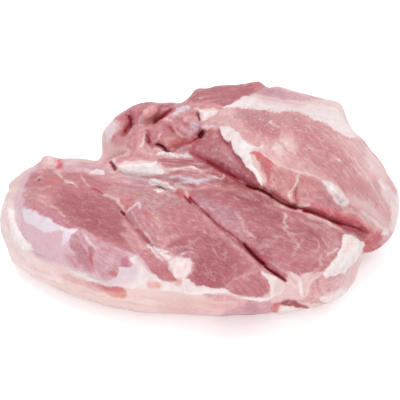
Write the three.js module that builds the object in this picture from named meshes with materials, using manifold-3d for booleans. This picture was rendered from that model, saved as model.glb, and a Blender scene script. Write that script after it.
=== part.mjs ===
// A boneless pork shoulder, raw, lying on its outer side with the boned side up.
// Millimetres, +X to the right, +Y to the back, +Z up. The origin is at the middle of the
// bottom of its box, and the underside is flat where it lies.
//
// Every muscle is a closed skin swept along its own spine: a sphere whose rings follow
// the spine and take its half width and half height there. The muscles are joined into one
// solid, so the seams between them are true creases, and a few pockets are cut out of it.

import * as THREE from "three";
import { mergeVertices } from "three/addons/utils/BufferGeometryUtils.js";
import Module from "manifold-3d";

const wasm = await Module();
wasm.setup();

// ---- Driving dimensions -------------------------------------------------------------

const REST_HEIGHT = 0; // the underside, where the meat lies
const TRIM_BLOCK = 600; // side of the block that trims the underside flat
const UNEVENNESS = 1.6; // how far a muscle's skin wanders in and out
const UNEVEN_LENGTH = 34; // the distance over which it does so

const MERGE_TOLERANCE = 1e-4; // vertices closer than this are one
const POLE_RING = 1e-6; // a ring thinner than this, on the unit sphere, is one of its poles

const MEAT_COLOUR = 0xc9858a;
const MEAT_ROUGHNESS = 0.42;

// ---- Muscles ------------------------------------------------------------------------

// Each station of a spine is [x, y, z, half width, half height], from one end of the
// muscle to the other. square is the exponent of the cross-section, where 2 is an ellipse
// and more is boxier, and blunt is the same for the two ends. around and along are the
// numbers of faces round the muscle and from end to end.
const MUSCLES = {
  outerFace: {
    stations: [
      [-150, 8, 22, 40, 24],
      [-84, 12, 24, 84, 28],
      [0, 8, 24, 104, 30],
      [88, 2, 24, 92, 28],
      [158, -4, 22, 46, 24],
    ],
    square: 2.8,
    blunt: 3,
    around: 30,
    along: 18,
  },
  core: {
    stations: [
      [-24, 0, 42, 12, 13],
      [8, -2, 43, 18, 14],
      [48, -12, 44, 18, 15],
      [86, -20, 46, 18, 15],
      [114, -26, 44, 12, 10],
    ],
    square: 2.4,
    blunt: 2.4,
    around: 14,
    along: 10,
  },
  frontPad: {
    stations: [
      [-178, 5, 34, 38, 34],
      [-134, -13, 31, 54, 34],
      [-62, -43, 28, 66, 33],
      [30, -53, 28, 64, 33],
      [98, -53, 28, 58, 31],
      [146, -48, 27, 36, 28],
    ],
    square: 2.8,
    blunt: 3.6,
    around: 32,
    along: 30,
  },
  rearPad: {
    stations: [
      [-94, 60, 28, 38, 30],
      [-50, 66, 32, 56, 38],
      [30, 64, 34, 66, 42],
      [110, 48, 34, 66, 40],
      [172, 20, 32, 43, 32],
    ],
    square: 2.6,
    blunt: 2.6,
    around: 30,
    along: 26,
  },
  rearFlank: {
    stations: [
      [-40, 88, 50, 24, 24],
      [20, 96, 54, 30, 30],
      [88, 88, 52, 34, 30],
      [142, 56, 46, 32, 28],
      [170, 20, 38, 24, 24],
    ],
    square: 2.8,
    blunt: 2.8,
    around: 20,
    along: 18,
  },
  leftFlank: {
    stations: [
      [-158, 20, 25, 22, 21],
      [-112, 36, 28, 28, 24],
      [-60, 42, 34, 30, 24],
      [-10, 38, 38, 26, 24],
    ],
    square: 2.6,
    blunt: 2.4,
    around: 18,
    along: 14,
  },
  leftLobe: {
    stations: [
      [-166, 20, 40, 24, 26],
      [-134, -4, 43, 46, 30],
      [-98, -42, 42, 47, 29],
      [-58, -78, 36, 40, 26],
      [-10, -104, 28, 18, 18],
    ],
    square: 2.8,
    blunt: 2.6,
    around: 26,
    along: 22,
  },
  leftBackRoll: {
    stations: [
      [-174, 22, 39, 18, 18],
      [-142, 33, 45, 20, 21],
      [-104, 34, 47, 20, 20],
      [-72, 28, 50, 14, 16],
    ],
    square: 2.4,
    blunt: 3,
    around: 18,
    along: 14,
  },
  middleLobe: {
    stations: [
      [-98, 20, 50, 18, 22],
      [-62, -10, 47, 30, 26],
      [-28, -48, 43, 38, 27],
      [6, -80, 38, 44, 26],
      [46, -95, 32, 35, 22],
      [80, -108, 26, 16, 17],
    ],
    square: 3.2,
    blunt: 2.6,
    around: 26,
    along: 24,
  },
  rightLobe: {
    stations: [
      [-22, 2, 50, 20, 22],
      [20, -34, 46, 32, 27],
      [58, -62, 42, 42, 28],
      [98, -74, 36, 40, 25],
      [135, -67, 30, 27, 22],
    ],
    square: 3.2,
    blunt: 2.8,
    around: 26,
    along: 24,
  },
  backStrip: {
    stations: [
      [-98, 34, 58, 12, 14],
      [-58, 30, 62, 16, 16],
      [-12, 22, 60, 18, 17],
      [38, -8, 58, 10, 13],
    ],
    square: 2.6,
    blunt: 2.4,
    around: 18,
    along: 16,
  },
  innerMuscle: {
    stations: [
      [-18, 72, 56, 22, 24],
      [12, 44, 58, 28, 27],
      [42, 8, 54, 26, 26],
      [78, -26, 48, 14, 20],
    ],
    square: 2.6,
    blunt: 2.4,
    around: 22,
    along: 18,
  },
  outerMuscle: {
    stations: [
      [-4, 80, 76, 24, 20],
      [44, 58, 76, 46, 28],
      [96, 34, 74, 57, 32],
      [144, 11, 58, 46, 34],
      [182, -1, 42, 32, 29],
    ],
    square: 2.5,
    blunt: 2.6,
    around: 30,
    along: 26,
  },
  hangingEnd: {
    stations: [
      [104, 12, 58, 40, 32],
      [144, -4, 42, 42, 32],
      [160, -30, 20, 30, 23],
    ],
    square: 2.4,
    blunt: 2.3,
    around: 18,
    along: 14,
  },
  tornEdge: {
    stations: [
      [28, 38, 73, 10, 12],
      [46, 8, 71, 14, 15],
      [78, -22, 64, 18, 17],
      [120, -37, 54, 20, 18],
      [159, -35, 41, 18, 15],
    ],
    square: 2.6,
    blunt: 2.4,
    around: 18,
    along: 18,
  },
  backMuscle: {
    stations: [
      [-22, 92, 72, 22, 26],
      [30, 94, 76, 32, 30],
      [90, 88, 73, 36, 31],
      [143, 79, 59, 34, 30],
    ],
    square: 2.8,
    blunt: 3.6,
    around: 22,
    along: 20,
  },
  rearKnob: {
    stations: [
      [-88, 56, 34, 26, 26],
      [-72, 68, 48, 35, 39],
      [-48, 76, 55, 42, 38],
      [-16, 78, 58, 36, 37],
      [6, 78, 58, 26, 32],
    ],
    square: 3.0,
    blunt: 2.8,
    around: 26,
    along: 20,
  },
  knobRim: {
    stations: [
      [-24, 84, 80, 10, 14],
      [-10, 66, 80, 16, 18],
      [-10, 48, 74, 12, 14],
    ],
    square: 2.4,
    blunt: 2.3,
    around: 16,
    along: 12,
  },
  knobFold: {
    stations: [
      [-56, 44, 62, 12, 12],
      [-34, 50, 72, 16, 16],
      [-10, 50, 72, 14, 15],
    ],
    square: 2.4,
    blunt: 2.3,
    around: 18,
    along: 12,
  },
};

// Pockets left by the bone and by folds, cut out of the joined muscles.
const POCKETS = {
  knobPocket: {
    stations: [
      [-64, 66, 92, 8, 10],
      [-48, 76, 92, 10, 14],
      [-30, 86, 94, 7, 10],
    ],
    square: 2,
    blunt: 2,
    around: 16,
    along: 12,
  },
  knobSlit: {
    stations: [
      [-80, 58, 82, 4, 8],
      [-76, 70, 86, 6, 10],
      [-72, 82, 90, 4, 8],
    ],
    square: 2,
    blunt: 2,
    around: 14,
    along: 10,
  },
};

// ---- Shapes -------------------------------------------------------------------------

// A smooth, repeatable wander between -1 and 1 over a distance of about UNEVEN_LENGTH.
function wander(x, y, z) {
  const k = (2 * Math.PI) / UNEVEN_LENGTH;
  const first = Math.sin(k * (0.61 * x + 0.37 * y + 0.29 * z) + 1.3);
  const second = Math.sin(k * (-0.33 * x + 0.71 * y + 0.17 * z) + 4.1);
  const third = Math.sin(k * (0.23 * x - 0.31 * y + 0.83 * z) + 2.7);
  return (first + second + third) / 3;
}

// A sphere swept along the stations, which lie at equal shares of its height.
function muscleSkin({ stations, square, blunt, around, along }) {
  const spine = new THREE.CatmullRomCurve3(
    stations.map(([x, y, z]) => new THREE.Vector3(x, y, z)),
  );
  const girth = new THREE.CatmullRomCurve3(
    stations.map(([, , , width, height]) => new THREE.Vector3(width, height, 0)),
  );
  const skin = new THREE.SphereGeometry(1, around, along);
  skin.deleteAttribute("normal");
  skin.deleteAttribute("uv");
  const points = skin.getAttribute("position");
  const unit = new THREE.Vector3();
  const side = new THREE.Vector3();
  const up = new THREE.Vector3(0, 0, 1);
  for (let i = 0; i < points.count; i += 1) {
    unit.fromBufferAttribute(points, i);
    const share = (1 + unit.y) / 2;
    const ring = Math.hypot(unit.x, unit.z);
    const centre = spine.getPoint(share);
    if (ring > POLE_RING) {
      const size = girth.getPoint(share);
      side.crossVectors(spine.getTangent(share), up).normalize();
      const across = unit.x / ring;
      const upward = unit.z / ring;
      const squared = (Math.abs(across) ** square + Math.abs(upward) ** square) ** (-1 / square);
      const taper = (1 - Math.abs(unit.y) ** blunt) ** (1 / blunt);
      const wide = size.x * taper * squared * across;
      const high = size.y * taper * squared * upward;
      centre.addScaledVector(side, wide).addScaledVector(up, high);
      const swell = UNEVENNESS * taper * wander(centre.x, centre.y, centre.z);
      centre.addScaledVector(side, swell * across).addScaledVector(up, swell * upward);
    }
    points.setXYZ(i, centre.x, centre.y, centre.z);
  }
  return skin;
}

// ---- Joining and cutting ------------------------------------------------------------

function solidOf(geometry) {
  const merged = mergeVertices(geometry, MERGE_TOLERANCE);
  return new wasm.Manifold(
    new wasm.Mesh({
      numProp: 3,
      vertProperties: new Float32Array(merged.getAttribute("position").array),
      triVerts: new Uint32Array(merged.index.array),
    }),
  );
}

function geometryOf(solid) {
  const mesh = solid.getMesh();
  return new THREE.BufferGeometry()
    .setAttribute("position", new THREE.BufferAttribute(new Float32Array(mesh.vertProperties), 3))
    .setIndex(new THREE.BufferAttribute(new Uint32Array(mesh.triVerts), 1));
}

function trimBlock() {
  const block = new THREE.BoxGeometry(TRIM_BLOCK, TRIM_BLOCK, TRIM_BLOCK);
  block.deleteAttribute("normal");
  block.deleteAttribute("uv");
  block.translate(0, 0, REST_HEIGHT - TRIM_BLOCK / 2);
  return solidOf(block);
}

// Moves the geometry so that the origin is at the middle of the bottom of its box.
function centredOverOrigin(geometry) {
  geometry.computeBoundingBox();
  const { min, max } = geometry.boundingBox;
  return geometry.translate(-(min.x + max.x) / 2, -(min.y + max.y) / 2, -min.z);
}

function shoulderGeometry() {
  const muscles = Object.values(MUSCLES).map((muscle) => solidOf(muscleSkin(muscle)));
  const pockets = Object.values(POCKETS).map((pocket) => solidOf(muscleSkin(pocket)));
  let shoulder = muscles.reduce((joined, muscle) => joined.add(muscle));
  for (const cutter of [...pockets, trimBlock()]) {
    shoulder = shoulder.subtract(cutter);
  }
  return centredOverOrigin(geometryOf(shoulder));
}

// ---- The part -----------------------------------------------------------------------

const meat = new THREE.MeshStandardMaterial({
  color: MEAT_COLOUR,
  roughness: MEAT_ROUGHNESS,
  metalness: 0,
});
const shoulder = new THREE.Mesh(shoulderGeometry(), meat);
shoulder.name = "pork_shoulder";

const part = new THREE.Group();
part.add(shoulder);

export default part;
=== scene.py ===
"""A raw, boned pork shoulder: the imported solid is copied, made fine and smooth, then modelled and
painted with the seams, folds, fat, silverskin and muscle grain that the photograph shows.

Places in pixels are x, y in the photograph's 400 x 400 frame. What a table or a comment gives in
millimetres is multiplied by MM where it is used. Everything else is in metres."""

import itertools
import math

import bmesh
import bpy
import numpy as np
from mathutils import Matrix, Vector
from mathutils.bvhtree import BVHTree
from mathutils.kdtree import KDTree


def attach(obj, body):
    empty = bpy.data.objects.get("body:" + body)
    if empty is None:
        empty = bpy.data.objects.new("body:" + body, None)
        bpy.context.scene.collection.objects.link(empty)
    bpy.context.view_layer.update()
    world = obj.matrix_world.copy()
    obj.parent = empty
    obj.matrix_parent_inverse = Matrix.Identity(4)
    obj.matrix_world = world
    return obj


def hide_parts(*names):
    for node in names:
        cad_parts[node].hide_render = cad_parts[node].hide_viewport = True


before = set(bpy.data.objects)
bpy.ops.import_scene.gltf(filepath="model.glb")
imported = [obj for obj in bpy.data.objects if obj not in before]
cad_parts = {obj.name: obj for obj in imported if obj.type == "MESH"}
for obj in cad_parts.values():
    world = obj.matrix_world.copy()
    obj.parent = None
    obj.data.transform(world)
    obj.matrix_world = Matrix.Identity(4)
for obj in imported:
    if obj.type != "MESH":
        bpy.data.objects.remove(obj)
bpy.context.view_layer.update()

NODE = "pork_shoulder"
MM = 0.001
TINY = 1e-12  # keeps a division from dividing by nothing, and counts as nothing

# ---- The mesh's fineness --------------------------------------------------------------------------

COARSE = 2.55 * MM  # spacing of the mesh on the sides that the photograph doesn't show
SMOOTH_ROUNDS = 14  # how long the solid's facets are smoothed
FLAT_BELOW = 1.5 * MM  # what is lower than this lies flat on the floor
BASE_BELOW = 0.6 * MM  # what is lower than this is the base, where few faces are needed
BASE_THINNED = 0.8  # the share of the base's faces that goes
SIGHT_LIFT = 0.6 * MM  # how far off the surface a line of sight starts

# ---- The photograph's camera ----------------------------------------------------------------------

PHOTO_FRAME = 400  # pixels each way
PHOTO_CENTRE = PHOTO_FRAME / 2
PHOTO_FOCAL = 1422.0  # pixels
PHOTO_AZIMUTH = 0.0
PHOTO_ELEVATION = 38.0
PHOTO_DISTANCE = 1.300
PHOTO_TARGET = (-0.0003, -0.0022, 0.050)
SENSOR = 36.0  # mm
MM_PER_PIXEL = PHOTO_DISTANCE / MM / PHOTO_FOCAL

# ---- Modelling ------------------------------------------------------------------------------------

# How a groove and a step fade towards their ends: rise for the whole length, and share at the end.
GROOVE_ENDS = (4, 0.35)
STEP_ENDS = (5, 0.0)
GROOVE_REACH = 3  # half widths from its line within which a groove is worked out
GROOVE_POWER = 1.6  # below 2, so a groove is sharper at its floor than a bell curve is
STEP_REACH = 2.2  # reaches from its line within which a step is worked out
STEP_WIDTH = 0.9 * MM  # half of the slope between the two sides of a step
SOFTEN_SMOOTHING = 16
SOFTEN_FULL = 1.5  # over 1, so that the middle third of a softened band is softened fully
PULLS_FROM = 15 * MM  # the height above which a pull has its full strength
SEEN_MARGIN = 2  # vertices round what the camera sees that are refined with it
REFINED_SMOOTHING = 3
OUTWARD_SMOOTHING = 8
CURVE_STEPS = 6  # points of a smooth path for each point of its line
NEAR_BEHIND, NEAR_AHEAD = 2, 3  # the steps of a path that give its direction

# ---- Paint ----------------------------------------------------------------------------------------

LAMP_SHARE = 0.665  # dims the palette's colours so that they show as given under the lamps
STROKE_ENDS = (6, 0.4)  # how a painted line narrows towards its ends, as for a groove
STROKE_FIRM = 0.3  # added to the share of its width that is left, gives its strength there
SOFT_REACH = 3  # softnesses beyond its width within which a painted line is worked out
LINE_SOFTNESS = 0.8  # pixels
BREAK_SIZE = 7.0  # pixels, between the breaks in a line
BREAK_SEED = 40  # the first line's, and one more for each line after it
BREAK_MEAN, BREAK_SWING = 0.75, 0.5  # a line's strength, and how far its noise changes it

# Fat and film are given by their depth: how far inside its outline a place is, in mm, or for a
# negative value how far outside. The material turns that into an edge.
FAR = -12.0  # the least depth
DEEP = 6  # the greatest depth on the far side
FILM_NONE, FILM_RISE = -0.6, 2.4  # a film's greatest depth with no strength, and more at full strength
COVER = 8  # the depth that a band of full strength takes off the fat and film

SKIN_NEAR, SKIN_FAR = 0.08, 0.2  # how unlike the skin's colour is still skin, and no longer skin

# The sides that the photograph doesn't show, with a white rim of fat between skin and muscle.
CARRY_FROM, CARRY_TO = 2 * MM, 26 * MM  # where the photographed side's colours begin and end to fade
SHADE_CARRY = 6 * MM  # how far the painted shade of its seams carries on round the piece
DEPTH_LOST = 0.4  # mm of the fat's and film's depth for each mm round the piece
DEPTH_HELD = 8  # mm of depth that the far side's fat and film lack beside the photographed side
RIM_HEIGHT = 36 * MM  # the rim's mean height above the floor
RIM_SOFTNESS = 3  # mm, of the skin's upper edge there
RIM_MIDDLE, RIM_HALF = 2, 2.4  # mm, the fat's middle above that height, and half its width
VEIL_ABOVE = 4  # mm above that height, where film starts
VEIL_FROM, VEIL_RISE = 0.34, 14  # the noise where film starts, and mm of depth for each 1 more

# ---- Grain and relief -----------------------------------------------------------------------------

FAR_STREAKS = 0.4  # how strong the grain's pale streaks are outside all areas of grain
FAR_STRETCH = 0.1  # the grain's stretch there, along the piece's length
STREAK_SMOOTHING = 4
BORDER_WIDTH = 2  # vertices
HOLLOW_SMOOTHING = 12
RELIEF_SHORTER = np.array([2.0, 1, 1])  # the relief is less drawn out than the colour
FAT_STANDS, FILM_STANDS = 0.9, 0.25  # mm, above the muscle
SKIN_CALM, FILM_CALM = 0.7, 0.6  # how much of the muscle's relief skin and film take away
FAT_EDGE, FILM_EDGE = (-0.8, 1.6), (-0.5, 1.0)  # mm of depth where their relief starts and is full

# ---- Noise that moves or colours vertices ---------------------------------------------------------

# name: (strength, size of the lumps, seed)
NOISES = {
    # In pixels: how far the painted edges wander across and down.
    "wander 0": (1.4, 7 * MM, 3),
    "wander 1": (1.4, 7 * MM, 4),
    "fine wander 0": (0.9, 3 * MM, 5),
    "fine wander 1": (0.9, 3 * MM, 6),
    # In metres: how the height of the white rim on the far side varies.
    "rim": (7 * MM, 70 * MM, 11),
    "fine rim": (2 * MM, 14 * MM, 12),
    # Without a unit: patches of colour and of film on the far side.
    "patches": (1, 34 * MM, 13),
    "small patches": (0.4, 11 * MM, 14),
    "pale patches": (1, 22 * MM, 15),
    "skin patches": (1, 30 * MM, 16),
    "veil": (1, 40 * MM, 18),
    "fine veil": (0.35, 9 * MM, 19),
    # In millimetres: how wide the white rim's fat is, and the relief of grain, muscle and fat. The
    # size of the bundles and fibres is in millimetres too, because the grain's places are.
    "width of the rim": (3, 18 * MM, 17),
    "bundles": (0.34, 5.5, 21),
    "fibres": (0.22, 2.8, 22),
    "swell": (0.8, 13 * MM, 23),
    "small swell": (0.4, 6 * MM, 24),
    "fat lumps": (0.55, 5 * MM, 25),
    "small fat lumps": (0.3, 2.6 * MM, 26),
}

# ---- The meat's material --------------------------------------------------------------------------

MEAT_ROUGHNESS = 0.4  # the shader's own value, in whose place the nodes put theirs
NOISE_MEAN = 0.5  # of Blender's noise
RAGGED = 5.0  # mm, the span over which noise moves the edges of the fat and film
SKIN_PLAIN = 0.75  # how much of the muscle's pattern is missing on skin
FILM_COVER, FAT_COVER, BLUSH = 0.85, 0.93, 0.6  # how much film, fat and the fat's pink cover
PAINTED_SHADE_DULL, MOTTLE_DULL = 0.4, 0.1  # how much rougher the painted shade of creases and the dark mottling are
FIBRE_RELIEF, PORE_RELIEF = 0.7 * MM, 0.4 * MM  # heights of the bump

# The rest of the flesh's finish, by the shader's sockets.
FLESH = {
    "Subsurface Weight": 0.08,
    "Subsurface Radius": (1.0, 0.4, 0.3),
    "Subsurface Scale": 4 * MM,
    "Coat Roughness": 0.18,
}

# Colours that only the material uses, in linear light. The two crease colours are painted shade, and
# the last one is a painted highlight on ridges that brightens what it multiplies.
LINEAR_COLOURS = {
    "mottled red": (0.33, 0.085, 0.105),
    "fibre red": (0.26, 0.055, 0.075),
    "crease red": (0.29, 0.034, 0.05),
    "crease black": (0.085, 0.005, 0.011),
    "ridge light": (1.5, 1.45, 1.45),
}

# name: (what it follows, scale, detail, roughness). The scale is per metre of the piece, or per
# millimetre of the grain's places.
TEXTURES = {
    "ragged": ("piece", 420.0, 4.0, 0.65),
    "mottle": ("piece", 95.0, 3.0, 0.55),
    "patches": ("piece", 170.0, 3.0, 0.6),
    "speckle": ("piece", 330.0, 4.0, 0.65),
    "blush": ("piece", 160.0, 4.0, 0.6),
    "pores": ("piece", 300.0, 4.0, 0.6),
    "fibre": ("grain", 0.42, 4.0, 0.6),
    "streaks": ("grain", 0.2, 3.0, 0.6),
    "thin streaks": ("grain", 0.55, 2.0, 0.5),
    "marbling": ("grain", 0.13, 3.0, 0.6),
}

# name: (from, to, value at from and before, value at to and after)
RAMPS = {
    "edge of the fat": (-0.5, 0.7, 0.0, 1.0),
    "edge of the film": (-0.6, 1.4, 0.0, 1.0),
    "less mottled where streaked": (0.3, 1.0, 1.0, 0.4),
    "less mottled where plain": (0.05, 0.25, 0.5, 1.0),
    "from lilac to white film": (0.3, 0.5, 0.0, 1.0),
    "blush of the fat": (0.42, 0.72, 0.0, 1.0),
    # Apart from the film's roughness, the ramps below turn hollows and seams into painted shade and
    # ridges into a painted highlight, and dull the shine under that shade.
    "less painted shade in fat": (0.0, 1.0, 1.0, 0.35),
    "hollow to painted shade": (0.35, 1.6, 0.0, 0.62),
    "painted shade to red": (0.0, 0.45, 0.0, 0.75),
    "painted shade to black": (0.3, 1.0, 0.0, 1.0),
    "ridge to painted highlight": (-0.2, -0.9, 0.0, 0.25),
    "film to roughness": (0.0, 1.0, 0.44, 0.3),
    "painted shade to specular": (0.1, 0.6, 0.4, 0.0),
    "painted shade to coat": (0.1, 0.6, 0.1, 0.0),
}

# What is mixed over the muscle's tone, and where:
# (texture, its value where the layer starts, and where it is full, strength, colour, place)
MUSCLE_LAYERS = (
    ("mottle", 0.40, 0.66, 0.32, "mottled red", "mottled"),
    ("patches", 0.48, 0.62, 0.30, "fibre red", "mottled"),
    ("patches", 0.46, 0.34, 0.28, "pale muscle", "mottled"),
    ("speckle", 0.50, 0.70, 0.26, "fibre red", "mottled"),
    ("fibre", 0.45, 0.68, 0.28, "fibre red", "grained"),
    ("fibre", 0.46, 0.30, 0.15, "pale muscle", "grained"),
    ("streaks", 0.56, 0.68, 0.5, "palest muscle", "streaked"),
    ("thin streaks", 0.58, 0.70, 0.5, "palest muscle", "streaked"),
    ("veins", 0.010, 0.0, 0.30, "cream", "grained"),
)

# ---- Floor and lamps ------------------------------------------------------------------------------

WHITE = (1, 1, 1)
FLOOR_SIZE = 12
FLOOR_COLOUR = (0.9, 0.9, 0.9)
FLOOR_ROUGHNESS = 0.9
FLOOR_GLOW = 0.22  # keeps the shadow on the floor faint, as in the photograph
SKY_LIGHT = 0.8

# name: (place, size, power in watts)
LAMPS = {
    "key": ((-0.35, 0.25, 1.2), 0.5, 9),
    "fill": ((0.1, -1.3, 0.5), 0.8, 9),
    "back": ((0.9, 0.8, 0.6), 0.8, 5),
}

# ---- Colours, as they show in even light (sRGB, 0 to 255) -----------------------------------------

PALETTE = {
    "skin": (235, 205, 201),
    "cream skin": (235, 215, 206),
    "pink skin": (229, 190, 188),
    "mauve": (208, 160, 167),
    "pale lilac": (223, 187, 197),
    "lilac": (214, 168, 178),
    "dull lilac": (190, 134, 146),
    "plum": (198, 126, 141),
    "deep muscle": (182, 102, 111),
    "dark muscle": (174, 93, 103),
    "deepest muscle": (168, 80, 92),
    "muscle": (196, 119, 126),
    "light muscle": (206, 143, 147),
    "grey muscle": (199, 150, 153),
    "pink muscle": (215, 150, 152),
    "light pink muscle": (220, 160, 161),
    "pale muscle": (224, 174, 175),
    "palest muscle": (231, 194, 194),
    "bright pink": (246, 198, 200),
    "bright skin": (245, 222, 221),
    "red muscle": (205, 112, 114),
    "bright red": (221, 96, 98),
    "salmon": (240, 160, 158),
    "lip red": (210, 92, 99),
    "dark red": (150, 56, 66),
    "blood red": (158, 60, 70),
    "wet red": (192, 68, 80),
    "deep red": (126, 36, 48),
    "orange pink": (228, 158, 146),
    "cream": (245, 223, 217),
    "white": (246, 238, 237),
    "lilac white": (232, 221, 232),
    "grey film": (207, 180, 184),
    "film": (228, 210, 222),
    "fat": (238, 224, 224),
    "pink fat": (229, 199, 198),
    "lilac fat": (222, 200, 210),
}
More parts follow.
